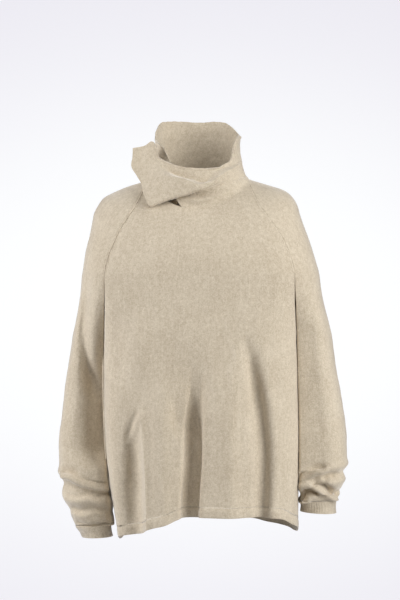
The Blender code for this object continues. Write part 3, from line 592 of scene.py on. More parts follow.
def collar(cols=COLLAR_COLS):
    u = np.linspace(0.0, 1.0, cols + 1)
    neck = neckline(np.radians(-17.0 + (337.0 + 17.0) * u))
    # the neckline seam: start just above the yoke edge
    r = np.hypot(neck[:, 0], neck[:, 1])
    a0 = np.arctan2(neck[:, 0], -neck[:, 1])
    a0 = np.unwrap(a0)
    tuck = 0.0060 * ease(0.90, 0.97, u)
    lines = [(a0, r - 0.00005 - tuck, neck[:, 2] + 0.00008)]
    for table in (COLLAR_INNER_FOLD, COLLAR_RIM, COLLAR_ROLL, COLLAR_VALLEY, COLLAR_EDGE):
        lines.append(line_at(table, u))
    angle = [line[0] for line in lines]
    rad = [line[1] for line in lines]
    height = [line[2] for line in lines]
    # pleat: how far the cloth doubles back between inner fold and rim
    flap = ease(0.004, -0.006, height[2] - height[1])
    keys = []

    def key(w, k0, k1, dr=0.0, dz=0.0):
        keys.append((angle[k0] * (1 - w) + angle[k1] * w,
                     rad[k0] * (1 - w) + rad[k1] * w + dr,
                     height[k0] * (1 - w) + height[k1] * w + dz))

    def fold(w, k0, k1, at, dr, dz):
        """A plain wall point where there is no pleat, a point by the fold where there is."""
        keys.append(((angle[k0] * (1 - w) + angle[k1] * w) * (1 - flap) + angle[at] * flap,
                     (rad[k0] * (1 - w) + rad[k1] * w) * (1 - flap) + (rad[at] + dr) * flap,
                     (height[k0] * (1 - w) + height[k1] * w) * (1 - flap) + (height[at] + dz) * flap))

    key(0.0, 0, 1)
    key(0.45, 0, 1, -0.002 * (1 - flap))
    fold(0.8, 0, 1, 1, -0.0055, -0.003)
    key(0.0, 1, 1, -0.0015 * flap, 0.001 * flap)
    key(0.5, 1, 2, -0.0035 * flap, 0.001 * flap)
    fold(0.8, 1, 2, 2, -0.0080, 0.0015)
    key(0.0, 2, 2, 0.0005)
    key(0.5, 2, 3, 0.0045 * flap)
    key(0.0, 3, 3)
    key(0.5, 3, 4, 0.0)
    key(0.0, 4, 4)
    key(0.5, 4, 5, -0.001)
    key(0.0, 5, 5)
    rows = []
    for an, rr, zz in keys:
        rows.append(np.stack([rr * np.sin(an), -rr * np.cos(an), zz], -1))
    return np.array(rows)


def inset(rows, edge, amount):
    """Move one edge of a grid towards its neighbours, for the seam gap."""
    out = np.array(rows)
    if edge == "top":
        d = out[1] - out[0]
        out[0] += d / np.linalg.norm(d, axis=-1, keepdims=True) * amount
    if edge == "bottom":
        d = out[-2] - out[-1]
        out[-1] += d / np.linalg.norm(d, axis=-1, keepdims=True) * amount
    if edge == "first":
        d = out[:, 1] - out[:, 0]
        out[:, 0] += d / np.linalg.norm(d, axis=-1, keepdims=True) * amount
    if edge == "last":
        d = out[:, -2] - out[:, -1]
        out[:, -1] += d / np.linalg.norm(d, axis=-1, keepdims=True) * amount
    return out


# ---------------------------------------------------------------- fine folds
# Each crease is a line on the cloth: points (x, z), how deep its groove is, the
# half widths of the groove on its two sides (first the wearer's right or upper
# side), the height, offset and half width of the roll beside it, and how much of
# its length fades in and out.
FRONT_CREASES = [
    # points, groove, right_w, left_w, roll, roll_off, roll_w, fade_in, fade_out
    # sharp ridge by the wearer's right side and the hollows outside it
    ([(-0.1160, -0.430), (-0.1118, -0.489), (-0.1055, -0.586), (-0.1020, -0.700)], -0.0060, 0.0045, 0.0080, 0.0, 0.0, 0.01, 0.25, 0.0),
    ([(-0.1400, -0.430), (-0.1380, -0.500), (-0.1330, -0.590), (-0.1270, -0.720)], 0.0140, 0.0190, 0.0190, 0.0030, -0.0360, 0.0110, 0.45, 0.0),
    ([(-0.1150, -0.442), (-0.1300, -0.470), (-0.1450, -0.505), (-0.1530, -0.530)], 0.0020, 0.0060, 0.0060, 0.0016, 0.0100, 0.0060, 0.30, 0.30),
    ([(-0.1680, -0.230), (-0.1660, -0.300), (-0.1640, -0.350), (-0.1580, -0.430)], 0.0055, 0.0160, 0.0200, 0.0045, 0.0480, 0.0200, 0.45, 0.45),
    # middle fold: broad valley, then its deep core
    ([(-0.0250, -0.285), (-0.0195, -0.336), (-0.0120, -0.400), (-0.0080, -0.480), (-0.0080, -0.560), (-0.0114, -0.667), (-0.0120, -0.710)], 0.0085, 0.0380, 0.0240, 0.0030, 0.0400, 0.0180, 0.30, 0.0),
    ([(-0.0160, -0.345), (-0.0110, -0.400), (-0.0050, -0.480), (-0.0040, -0.556), (-0.0090, -0.620), (-0.0110, -0.667), (-0.0110, -0.710)], 0.0125, 0.0150, 0.0075, 0.0030, 0.0190, 0.0100, 0.45, 0.0),
    # second fold towards the wearer's left
    ([(0.0850, -0.265), (0.0980, -0.320), (0.1110, -0.365), (0.1250, -0.450), (0.1320, -0.520), (0.1300, -0.640), (0.1280, -0.710)], 0.0080, 0.0330, 0.0180, 0.0, 0.0, 0.0140, 0.30, 0.0),
    ([(0.0950, -0.290), (0.1080, -0.355), (0.1290, -0.450), (0.1370, -0.520), (0.1350, -0.640), (0.1320, -0.710)], 0.0075, 0.0130, 0.0085, 0.0030, 0.0210, 0.0110, 0.30, 0.0),
    # ridge between them, and softer hollows
    ([(0.0780, -0.270), (0.0750, -0.350), (0.0650, -0.450), (0.0640, -0.560), (0.0600, -0.710)], -0.0060, 0.0220, 0.0220, 0.0, 0.0, 0.01, 0.35, 0.0),
    ([(-0.0430, -0.405), (-0.0430, -0.460), (-0.0400, -0.520)], 0.0050, 0.0140, 0.0220, 0.0, 0.0, 0.01, 0.45, 0.45),
    ([(-0.0680, -0.340), (-0.0760, -0.450), (-0.0780, -0.560), (-0.0720, -0.710)], -0.0050, 0.0160, 0.0160, 0.0, 0.0, 0.01, 0.35, 0.0),
    ([(0.0900, -0.560), (0.1000, -0.640), (0.1000, -0.710)], 0.0030, 0.0140, 0.0140, 0.0, 0.0, 0.01, 0.5, 0.0),
]
BACK_CREASES = [
    ([(-0.0600, -0.300), (-0.0700, -0.460), (-0.0640, -0.720)], 0.0110, 0.0110, 0.0260, 0.0035, -0.0240, 0.0120, 0.4, 0.0),
    ([(0.0400, -0.340), (0.0560, -0.500), (0.0620, -0.720)], 0.0120, 0.0260, 0.0110, 0.0035, 0.0240, 0.0120, 0.4, 0.0),
    ([(0.1250, -0.260), (0.1400, -0.460), (0.1500, -0.700)], 0.0070, 0.0120, 0.0200, 0.0025, -0.0240, 0.0120, 0.4, 0.0),
    ([(-0.1350, -0.280), (-0.1450, -0.440), (-0.1520, -0.700)], 0.0080, 0.0200, 0.0120, 0.0025, 0.0240, 0.0120, 0.4, 0.0),
    ([(0.0000, -0.420), (-0.0060, -0.560), (-0.0040, -0.700)], 0.0040, 0.0160, 0.0160, 0.0, 0.0, 0.01, 0.5, 0.0),
]
SLEEVE_CREASES = {
    "right": [
        ([(-0.2233, -0.138), (-0.2358, -0.231), (-0.2358, -0.324), (-0.2233, -0.397), (-0.2080, -0.449)], 0.0170, 0.0150, 0.0130, 0.0, 0.0, 0.0140, 0.35, 0.20),
        ([(-0.2080, -0.290), (-0.2030, -0.380), (-0.2010, -0.470), (-0.2000, -0.590)], 0.0320, 0.0520, 0.0300, 0.0, 0.0, 0.0140, 0.45, 0.20),
        ([(-0.2080, -0.080), (-0.2060, -0.120), (-0.2010, -0.165)], 0.0045, 0.0080, 0.0060, 0.0030, -0.0120, 0.0080, 0.30, 0.10),
        ([(-0.2870, -0.5870), (-0.2600, -0.5900), (-0.2400, -0.6010), (-0.2150, -0.6090), (-0.1850, -0.6150)], 0.0080, 0.0040, 0.0110, 0.0075, -0.0075, 0.0055, 0.08, 0.08),
        ([(-0.2800, -0.6320), (-0.2550, -0.6370), (-0.2250, -0.6330), (-0.1950, -0.6400)], 0.0045, 0.0070, 0.0080, 0.0030, -0.0100, 0.0070, 0.12, 0.12),
        ([(-0.2650, -0.6600), (-0.2400, -0.6680), (-0.2150, -0.6620), (-0.1900, -0.6660)], 0.0045, 0.0060, 0.0070, 0.0028, -0.0090, 0.0060, 0.12, 0.12),
        ([(-0.2560, -0.6920), (-0.2350, -0.6980), (-0.2100, -0.6980), (-0.1850, -0.6940)], 0.0040, 0.0050, 0.0050, 0.0015, -0.0080, 0.0050, 0.12, 0.12),
    ],
    "left": [
        ([(0.2120, -0.3900), (0.2500, -0.3925), (0.2840, -0.3935)], 0.0007, 0.0020, 0.0020, 0.0004, -0.0030, 0.0020, 0.12, 0.12),
        ([(0.2250, -0.4720), (0.2600, -0.4750), (0.3000, -0.4770)], 0.0009, 0.0020, 0.0020, 0.0004, -0.0030, 0.0020, 0.12, 0.12),
        ([(0.2130, -0.6000), (0.2250, -0.5900), (0.2420, -0.5780), (0.2580, -0.5760), (0.2680, -0.5700)], 0.0080, 0.0045, 0.0080, 0.0060, -0.0080, 0.0055, 0.10, 0.25),
        ([(0.2320, -0.6130), (0.2470, -0.6130), (0.2620, -0.6200), (0.2780, -0.6310), (0.2960, -0.6390)], 0.0150, 0.0040, 0.0080, 0.0080, -0.0090, 0.0062, 0.15, 0.05),
        ([(0.2130, -0.6480), (0.2220, -0.6440), (0.2290, -0.6310), (0.2420, -0.6300), (0.2530, -0.6340)], 0.0110, 0.0040, 0.0065, 0.0060, -0.0075, 0.0050, 0.10, 0.25),
        ([(0.2560, -0.6020), (0.2720, -0.5940), (0.2900, -0.5960)], 0.0050, 0.0070, 0.0070, 0.0020, -0.0120, 0.0080, 0.25, 0.25),
    ],
}


def resample(points, count=60):
    p = np.array(points, float)
    d = np.concatenate([[0], np.cumsum(np.linalg.norm(np.diff(p, axis=0), axis=1))])
    s = np.linspace(0, d[-1], count)
    return np.stack([smooth(d, p[:, 0], s), smooth(d, p[:, 1], s)], 1)


def line_distance(px, pz, line):
    """Signed distance to a line, and how far along it (0..1) the nearest point is."""
    best = np.full(px.shape, 1e9)
    sign = np.zeros(px.shape)
    along = np.zeros(px.shape)
    n = len(line) - 1
    for k in range(n):
        a, b = line[k], line[k + 1]
        d = b - a
        L2 = float(d @ d)
        t = ((px - a[0]) * d[0] + (pz - a[1]) * d[1]) / L2
        tc = np.clip(t, 0, 1)
        qx, qz = a[0] + d[0] * tc, a[1] + d[1] * tc
        dist = np.hypot(px - qx, pz - qz)
        side = (d[0] * (pz - a[1]) - d[1] * (px - a[0]))
        closer = dist < best
        best = np.where(closer, dist, best)
        sign = np.where(closer, np.sign(side), sign)
        along = np.where(closer, (k + tc) / n, along)
    return best * sign, along


def crease_amount(px, pz, crease, weaker=1.0, shift=0.0):
    """Displacement of one crease: groove along its line, roll beside it."""
    points, groove, right_w, left_w, roll, roll_off, roll_w, fade_in, fade_out = crease
    line = resample(points)
    line[:, 1] += shift
    box = 0.10
    near = ((px > line[:, 0].min() - box) & (px < line[:, 0].max() + box)
            & (pz > line[:, 1].min() - box) & (pz < line[:, 1].max() + box))
    out = np.zeros(px.shape)
    if not near.any():
        return out
    d, s = line_distance(px[near], pz[near], line)
    end = ease(0.0, fade_in, s) if fade_in else 1.0
    if fade_out:
        end = end * ease(0.0, fade_out, 1.0 - s)
    low = np.where(d < 0, np.exp(-(np.abs(d) / right_w) ** 1.7), np.exp(-(np.abs(d) / left_w) ** 2.0))
    out[near] = weaker * end * (-groove * low + roll * np.exp(-((d - roll_off) / roll_w) ** 2))
    return out


def add_creases(rows, sign, creases, facing):
    """Creases of the front (facing -1) or back (+1) pressed into a panel."""
    n = grid_normals(rows, sign)
    px, pz = rows[..., 0], rows[..., 2]
    face = ease(0.05, 0.55, facing * n[..., 1])
    amount = np.zeros(px.shape)
    for crease in creases:
        amount += crease_amount(px, pz, crease)
    return rows + n * (amount * face)[..., None]


def wander(px, py, seed, scale, octaves=3):
    """Smooth repeatable unevenness in -1..1, made of crossed waves."""
    rng = np.random.default_rng(seed)
    out = np.zeros(px.shape)
    total = 0.0
    for o in range(octaves):
        for _ in range(5):
            ang = rng.uniform(0, math.pi)
            k = 2 * math.pi / (scale / 2 ** o) * rng.uniform(0.7, 1.3)
            ph = rng.uniform(0, 2 * math.pi)
            out += np.sin((px * math.cos(ang) + py * math.sin(ang)) * k + ph) / (5 * 1.6 ** o)
        total += 1 / 1.6 ** o
    return out / total * 1.6


# ---------------------------------------------------------------- mesh making
def distance_uv(rows, closed=False):
    """Lengths along the cloth in metres, for the knit's direction and scale."""
    r = np.concatenate([rows, rows[:, :1]], 1) if closed else rows
    du = np.linalg.norm(np.diff(r, axis=1), axis=-1)
    u = np.concatenate([np.zeros((len(r), 1)), np.cumsum(du, 1)], 1)
    mid = u[:, u.shape[1] // 2][:, None]
    u = u - mid
    u = u * 0.25 + u.mean(0)[None] * 0.75      # wales stay nearly parallel
    dv = np.linalg.norm(np.diff(r, axis=0), axis=-1)
    v = np.concatenate([np.zeros((1, r.shape[1])), np.cumsum(dv, 0)], 0)
    return u, v


def crisp_border(mesh):
    """Cut edges keep a crisp corner when the wall is added."""
    uses = np.zeros(len(mesh.edges), int)
    ids = np.empty(len(mesh.loops), int)
    mesh.loops.foreach_get("edge_index", ids)
    np.add.at(uses, ids, 1)
    sharp = mesh.attributes.new("sharp_edge", "BOOLEAN", "EDGE")
    sharp.data.foreach_set("value", uses == 1)


def shell(name, blocks, mat, thickness=0.0026, flip=False):
    """blocks: list of (rows, closed, u, v, flip). Open sheet, then its wall inwards."""
    verts, faces, uvs, index = [], [], [], {}

    def vid(co):
        k = (round(float(co[0]), 6), round(float(co[1]), 6), round(float(co[2]), 6))
        if k not in index:
            index[k] = len(verts)
            verts.append((float(co[0]), float(co[1]), float(co[2])))
        return index[k]

    for rows, closed, u, v, turn in blocks:
        n = rows.shape[1]
        ids = [[vid(rows[j, i]) for i in range(n)] for j in range(len(rows))]
        last = n if closed else n - 1
        for j in range(len(rows) - 1):
            for i in range(last):
                k = (i + 1) % n
                q = [ids[j][i], ids[j][k], ids[j + 1][k], ids[j + 1][i]]
                c = [(u[j, i], v[j, i]), (u[j, i + 1], v[j, i + 1] if not closed else v[j, i]),
                     (u[j + 1, i + 1], v[j + 1, i + 1] if not closed else v[j + 1, i]), (u[j + 1, i], v[j + 1, i])]
                if len(set(q)) < 4:
                    keep = []
                    for t in range(4):
                        if q[t] not in [q[x] for x in keep]:
                            keep.append(t)
                    if len(keep) < 3:
                        continue
                    q, c = [q[t] for t in keep], [c[t] for t in keep]
                if turn:
                    q, c = q[::-1], c[::-1]
                faces.append(q)
                uvs.extend(c)
    mesh = bpy.data.meshes.new(name)
    mesh.from_pydata(verts, [], faces)
    layer = mesh.uv_layers.new(name="cloth")
    layer.data.foreach_set("uv", np.array(uvs, dtype=np.float32).ravel())
    mesh.polygons.foreach_set("use_smooth", [True] * len(mesh.polygons))
    mesh.materials.append(mat)
    crisp_border(mesh)
    ob = bpy.data.objects.new(name, mesh)
    bpy.context.scene.collection.objects.link(ob)
    if thickness:
        wall = ob.modifiers.new("wall", "SOLIDIFY")
        wall.thickness = thickness
        wall.offset = -1.0
        wall.use_even_offset = False
        wall.use_rim = True
    return ob


# ---------------------------------------------------------------- materials
def knit(name, rib=0.0, streak=1.0, tint=1.0):
    """Felted beige knit: heathered colour, soft wales, nap and sheen."""
    mat = bpy.data.materials.new(name)
    mat.use_nodes = True
    nt = mat.node_tree
    nt.nodes.clear()
    out = nt.nodes.new("ShaderNodeOutputMaterial")
    bsdf = nt.nodes.new("ShaderNodeBsdfPrincipled")
    nt.links.new(bsdf.outputs["BSDF"], out.inputs["Surface"])
    bsdf.inputs["Roughness"].default_value = 0.95
    bsdf.inputs["Specular IOR Level"].default_value = 0.15
    bsdf.inputs["Sheen Weight"].default_value = 0.8
    bsdf.inputs["Sheen Roughness"].default_value = 0.45
    bsdf.inputs["Sheen Tint"].default_value = (1.0, 0.95, 0.86, 1.0)
    uv = nt.nodes.new("ShaderNodeUVMap")
    uv.uv_map = "cloth"
    obj = nt.nodes.new("ShaderNodeTexCoord")

    def noise(vec, scale, detail=3.0, rough=0.6, stretch=None):
        src = vec
        if stretch is not None:
            m = nt.nodes.new("ShaderNodeMapping")
            m.inputs["Scale"].default_value = stretch
            nt.links.new(vec, m.inputs["Vector"])
            src = m.outputs["Vector"]
        t = nt.nodes.new("ShaderNodeTexNoise")
        t.inputs["Scale"].default_value = scale
        t.inputs["Detail"].default_value = detail
        t.inputs["Roughness"].default_value = rough
        nt.links.new(src, t.inputs["Vector"])
        return t.outputs["Fac"]

    def math_node(op, a, b):
        n = nt.nodes.new("ShaderNodeMath")
        n.operation = op
        for k, v in enumerate((a, b)):
            if isinstance(v, (int, float)):
                n.inputs[k].default_value = v
            else:
                nt.links.new(v, n.inputs[k])
        return n.outputs[0]

    P = obj.outputs["Object"]
    U = uv.outputs["UV"]
    fuzz = noise(P, 420.0, 4.0, 0.65)
    heather = noise(P, 150.0, 3.0, 0.6)
    wales = noise(U, 1.0, 3.0, 0.6, stretch=(330.0, 34.0, 1.0))
    streaks = noise(U, 1.0, 2.0, 0.5, stretch=(90.0, 7.0, 1.0))
    cloud = noise(P, 16.0, 2.0, 0.5)
    # colour
    a = math_node("MULTIPLY_ADD", fuzz, 0.50)
    a.node.inputs[2].default_value = 0.0
    b = math_node("MULTIPLY", heather, 0.30)
    c = math_node("MULTIPLY", wales, 0.14 * streak)
    d = math_node("MULTIPLY", streaks, 0.08 * streak)
    e = math_node("MULTIPLY", cloud, 0.12)
    s = math_node("ADD", math_node("ADD", math_node("ADD", a, b), math_node("ADD", c, d)), e)
    total = 0.50 + 0.30 + 0.14 * streak + 0.08 * streak + 0.12
    fac = math_node("DIVIDE", s, total)
    ramp = nt.nodes.new("ShaderNodeValToRGB")
    nt.links.new(fac, ramp.inputs["Fac"])
    r = ramp.color_ramp
    r.interpolation = "LINEAR"
    r.elements[0].position, r.elements[1].position = 0.36, 0.64
    r.elements[0].color = (0.440 * tint, 0.350 * tint, 0.240 * tint, 1)
    r.elements[1].color = (0.700 * tint, 0.600 * tint, 0.450 * tint, 1)
    mid = r.elements.new(0.5)
    mid.color = (0.570 * tint, 0.475 * tint, 0.338 * tint, 1)
    nt.links.new(ramp.outputs["Color"], bsdf.inputs["Base Color"])
    # relief
    height = math_node("ADD", math_node("MULTIPLY", fuzz, 0.55), math_node("MULTIPLY", heather, 0.35))
    height = math_node("ADD", height, math_node("MULTIPLY", wales, 0.45 * streak))
    if rib:
        sep = nt.nodes.new("ShaderNodeSeparateXYZ")
        nt.links.new(U, sep.inputs[0])
        wave = math_node("SINE", math_node("MULTIPLY", sep.outputs["X"], 2 * math.pi / 0.0034), 0.0)
        height = math_node("ADD", height, math_node("MULTIPLY", wave, rib))
    bump = nt.nodes.new("ShaderNodeBump")
    bump.inputs["Strength"].default_value = 0.55
    bump.inputs["Distance"].default_value = 0.0016
    nt.links.new(height, bump.inputs["Height"])
    nt.links.new(bump.outputs["Normal"], bsdf.inputs["Normal"])
    return mat


BODY_KNIT = knit("felted_knit")
RIB_KNIT = knit("felted_rib", rib=0.45)
BAND_KNIT = knit("felted_band", rib=0.0, streak=0.6)


# ---------------------------------------------------------------- the pieces
def sheet_area(ob):
    return sum(p.area for p in ob.data.polygons)


def finish_piece(ob, node, flat, area=None):
    print("AREA", ob.name, round(sheet_area(ob), 4), flat, area)
    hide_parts(node)
    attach(ob, "root")
    return ob


def edge_distance(rows, edge):
    """Distance along the cloth from one edge of a grid."""
    if edge in ("first", "last"):
        d = np.linalg.norm(np.diff(rows, axis=1), axis=-1)
        s = np.concatenate([np.zeros((len(rows), 1)), np.cumsum(d, 1)], 1)
        return s if edge == "first" else s[:, -1:] - s
    d = np.linalg.norm(np.diff(rows, axis=0), axis=-1)
    s = np.concatenate([np.zeros((1, rows.shape[1])), np.cumsum(d, 0)], 0)
    return s if edge == "top" else s[-1:] - s


def sewn_edge(rows, sign, edge, depth=0.0008):
    """Seam look: the edge rolls in, with one raised line of stitches beside it."""
    s = edge_distance(rows, edge)
    n = grid_normals(rows, sign)
    amount = (-depth * np.exp(-(s / 0.0011) ** 2) + 0.45 * depth * np.exp(-((s - 0.0028) / 0.0011) ** 2)
              - 0.45 * depth * np.exp(-((s - 0.0050) / 0.0010) ** 2))
    return rows + n * amount[..., None]


def tucked(rows, sign, length=0.0022, inwards=0.0007):
    """One more row above the top edge, tucked behind the piece it is sewn to."""
    n = grid_normals(rows, sign)
    d = rows[0] - rows[1]
    d /= np.maximum(np.linalg.norm(d, axis=-1, keepdims=True), 1e-9)
    extra = rows[0] + d * length - n[0] * inwards
    return np.concatenate([extra[None], rows])


def build_front_back():
    flats = {"front": (0.62, 0.70), "back": (0.60, 0.72)}
    for side in ("front", "back"):
        yoke_part, lower, band = panel(side)
        whole = np.concatenate([lower, band[1:]])
        k = STRIP_COLS
        creases = FRONT_CREASES if side == "front" else BACK_CREASES
        facing = -1.0 if side == "front" else 1.0
        whole = add_creases(whole, -1.0, creases, facing)
        # soft unevenness, fading towards the seams
        n = grid_normals(whole, -1.0)
        rows_n = len(whole)
        fade_v = ease(0.0, 0.15, np.arange(rows_n) / rows_n)[:, None]
        cols = whole.shape[1]
        ci = np.arange(cols) / (cols - 1)
        fade_u = (ease(0.0, 0.06, ci) * ease(0.0, 0.06, 1 - ci))[None]
        amp = 0.0011 * wander(whole[..., 0] * 1.6, whole[..., 2] * 0.55, 11 if side == "front" else 12, 0.075)
        whole = whole + n * (amp * fade_v * fade_u)[..., None]
        lower, band = whole[:len(lower)], whole[len(lower) - 1:]
        ny = grid_normals(yoke_part, -1.0)
        tj = np.arange(len(yoke_part)) / (len(yoke_part) - 1)
        ti = np.arange(yoke_part.shape[1]) / (yoke_part.shape[1] - 1)
        fade = (ease(0.0, 0.2, tj) * ease(0.0, 0.25, 1 - tj))[:, None] * (ease(0, 0.1, ti) * ease(0, 0.1, 1 - ti))[None]
        amp = 0.0006 * wander(yoke_part[..., 0], yoke_part[..., 2], 21, 0.09)
        yoke_part = yoke_part + ny * (amp * fade)[..., None]
        # the raglan seams and the seam of the lower band
        for edge in ("first", "last"):
            yoke_part = sewn_edge(yoke_part, -1.0, edge, 0.0008 if (edge == "first") == (side == "front") else 0.0005)
        lower = sewn_edge(lower, -1.0, "bottom", 0.0006)
        yoke_part = inset(inset(yoke_part, "first", GAP / 2), "last", GAP / 2)
        yoke_part = inset(yoke_part, "top", GAP)
        lower = inset(lower, "bottom", GAP / 2)
        lower = inset(inset(lower, "first", GAP / 2), "last", GAP / 2)
        yoke_part[-1] = lower[0, k:-k]
        uy, vy = distance_uv(yoke_part)
        ul, vl = distance_uv(lower)
        vl = vl + vy[-1].mean()
        ob = shell("knit_" + side, [(yoke_part, False, uy, vy, True), (lower, False, ul, vl, True)], BODY_KNIT)
        finish_piece(ob, side, flats[side], area=AREAS[side])
        band = inset(inset(band, "first", GAP / 2), "last", GAP / 2)
        band = inset(band, "top", GAP / 2)
        band = refine_rows(band, 14)
        band = tucked(band_shape(band), -1.0)
        ub, vb = distance_uv(band)
        ob = shell("knit_band_" + side, [(band, False, ub, vb, True)], BAND_KNIT, thickness=0.0034)
        finish_piece(ob, "hem_band_" + side, (0.55, 0.019))


def refine_rows(rows, count):
    d = np.linalg.norm(np.diff(rows, axis=0), axis=-1).mean(1)
    s = np.concatenate([[0], np.cumsum(d)])
    t = np.linspace(0, s[-1], count)
    out = np.empty((count,) + rows.shape[1:])
    for c in range(rows.shape[1]):
        for a in range(3):
            out[:, c, a] = np.interp(t, s, rows[:, c, a])
    return out


def band_shape(band):
    """The doubled lower band is a little full, with a dip at its seam."""
    n = grid_normals(band, -1.0)
    v = np.linspace(0, 1, len(band))[:, None]
    full = 0.0009 * ease(0.0, 0.25, v) * ease(0.0, 0.15, 1.02 - v) - 0.0002
    wob = 0.0006 * wander(band[..., 0] * 3, band[..., 2], 31, 0.05) * ease(0.05, 0.6, v)
    return band + n * (full * ease(0.0, 0.05, v + 0.02) + wob)[..., None]


def hug_body(rows, side, n_out):
    """The inner front of the arm rests against the side of the body."""
    sign = SIGN[side]
    out = rows.copy()
    col = np.arange(rows.shape[1])
    zone = 1.0 - ease(0.0, 0.14 * n_out, col)       # from the front split point outwards
    zone[n_out:] = ease(0.0, 12.0, col[n_out:] - n_out)
    for r in range(1, len(rows)):
        limit = body_half(side, out[r, :, 1], out[r, :, 2]) + sign * 0.0004
        gap = sign * (out[r, :, 0] - limit)
        part = np.where(gap > 0, np.clip(1.0 - gap / 0.030, 0.0, 1.0) * zone, 1.0)
        out[r, :, 0] = out[r, :, 0] - sign * gap * part
    return out


def build_sleeves():
    for side in ("left", "right"):
        sign = SIGN[side]
        yoke_part, lower, tube, n_out = sleeve(side)
        flip = side == "left"
        closed = np.concatenate([lower, lower[:, :1]], 1)
        n = grid_normals(closed, -1.0 if side == "left" else 1.0)[:, :-1]
        px, pz, ny = lower[..., 0], lower[..., 2], n[..., 1]
        # the same creases, weaker, on the hidden side of the arm
        front = ease(-0.15, 0.45, -ny)
        back = ease(-0.15, 0.45, ny)
        amount = np.zeros(px.shape)
        deep = np.zeros(px.shape)
        for crease in SLEEVE_CREASES[side]:
            if crease[1] > 0.0155:      # long hollows: straight back, so the arm stays by the body
                deep += crease_amount(px, pz, crease) * ease(0.10, 0.70, -ny)
                continue
            amount += crease_amount(px, pz, crease) * front
            amount += crease_amount(px, pz, crease, 0.8, 0.006) * back * (1 - front)
        lower = lower + n * amount[..., None]
        lower[..., 1] -= deep
        rows_n = len(lower)
        fade = ease(0.05, 0.25, np.arange(rows_n) / rows_n)[:, None] * ease(0.0, 0.02, 1 - np.arange(rows_n) / (rows_n - 1))[:, None]
        ang = np.arctan2(lower[..., 1] - lower[..., 1].mean(1, keepdims=True), lower[..., 0] - lower[..., 0].mean(1, keepdims=True))
        arc = ang * 0.05
        wob = 0.0012 * wander(np.cos(ang) * 0.05 * 1.2, lower[..., 2] * 0.7 + np.sin(ang) * 0.04, 41 + int(flip), 0.08)
        lower = lower + n * (wob * fade)[..., None]
        lower = hug_body(lower, side, n_out)
        turn = -1.0 if side == "left" else 1.0
        for edge in ("first", "last"):
            yoke_part = sewn_edge(yoke_part, -1.0, edge, 0.0008 if side == "right" else 0.0005)
        yoke_part = inset(inset(yoke_part, "first", GAP / 2), "last", GAP / 2)
        yoke_part = inset(yoke_part, "top", GAP)
        lower[0, :n_out] = yoke_part[-1]
        lower[0, n_out:, 0] += sign * GAP
        lower = inset(lower, "bottom", GAP / 2)
        uy, vy = distance_uv(yoke_part)
        ul, vl = distance_uv(lower, closed=True)
        vl = vl + vy[-1].mean()
        ob = shell("knit_sleeve_" + side, [(yoke_part, False, uy, vy, flip), (lower, True, ul, vl, flip)], BODY_KNIT)
        finish_piece(ob, "sleeve_" + side, (0.46, 0.80), area=AREAS["sleeve"])
        tube = inset(tube, "top", GAP / 2)
        tube = refine_rows(tube, 26)
        ut, vt = distance_uv(tube, closed=True)
        ob = shell("knit_cuff_" + side, [(tube, True, ut, vt, flip)], RIB_KNIT, thickness=0.0030)
        finish_piece(ob, "cuff_" + side, (0.23, 0.025))


def build_collar():
    rows = collar()
    rows = refine_profile(rows, 150)
    rows = join_neck(rows)
    n = grid_normals(rows, 1.0)
    u = np.linspace(0, 1, rows.shape[1])[None]
    # doubled edges: a shallow line inside the free edge and the slit edges
    up = np.cumsum(np.concatenate([np.zeros((1, rows.shape[1])), np.linalg.norm(np.diff(rows, axis=0), axis=-1)], 0), 0)
    from_top = up[-1][None] - up
    along = np.cumsum(np.concatenate([np.zeros((rows.shape[0], 1)), np.linalg.norm(np.diff(rows, axis=1), axis=-1)], 1), 1)
    from_end = np.minimum(along, along[:, -1:] - along)
    line = -0.0007 * (np.exp(-((from_top - 0.0065) / 0.0014) ** 2) + np.exp(-((from_end - 0.0065) / 0.0014) ** 2))
    wob = 0.0010 * wander(along, up, 51, 0.06) * ease(0.0, 0.02, up)
    rows = rows + n * (line + wob)[..., None]
    uv_u, uv_v = distance_uv(rows)
    ob = shell("knit_collar", [(rows, False, uv_u, uv_v, False)], BODY_KNIT, thickness=0.0034)
    finish_piece(ob, "collar", (0.66, 0.13), area=AREAS["collar"])


def join_neck(rows):
    """Carry the slope of the yoke on into the foot of the collar."""
    u = np.linspace(0.0, 1.0, rows.shape[1])
    ang = np.radians(-17.0 + (337.0 + 17.0) * u)
    wrapped = (ang + math.pi) % (2 * math.pi) - math.pi
    below = yoke(np.full(wrapped.shape, 0.03), wrapped)
    neck = neckline(ang)
    t = neck - below
    t /= np.linalg.norm(t, axis=-1, keepdims=True)
    up = np.concatenate([np.zeros((1, rows.shape[1])),
                         np.cumsum(np.linalg.norm(np.diff(rows, axis=0), axis=-1), 0)])
    part = (1.0 - ease(0.0, 0.024, up)) * 0.85
    part[0] = 0.0
    carried = rows[:1] + t[None] * up[..., None]
    # not at the ends, which lie flat under the first layer
    keep = (ease(0.0, 0.03, u) * ease(0.0, 0.10, 1.0 - u))[None]
    return rows + (carried - rows) * (part * keep)[..., None]


def refine_profile(rows, count):
    """Smooth curve through the collar's profile points."""
    n_cols = rows.shape[1]
    out = np.empty((count, n_cols, 3))
    for c in range(n_cols):
        p = rows[:, c]
        d = np.linalg.norm(np.diff(p, axis=0), axis=-1)
        s = np.concatenate([[0], np.cumsum(np.maximum(d, 1e-5))])
        t = np.linspace(0, s[-1], count)
        for a in range(3):
            out[:, c, a] = smooth(s, p[:, a], t)
    return out


AREAS = {"front": 0.318, "back": 0.368, "sleeve": 0.234, "collar": 0.074}
build_front_back()
build_sleeves()
build_collar()


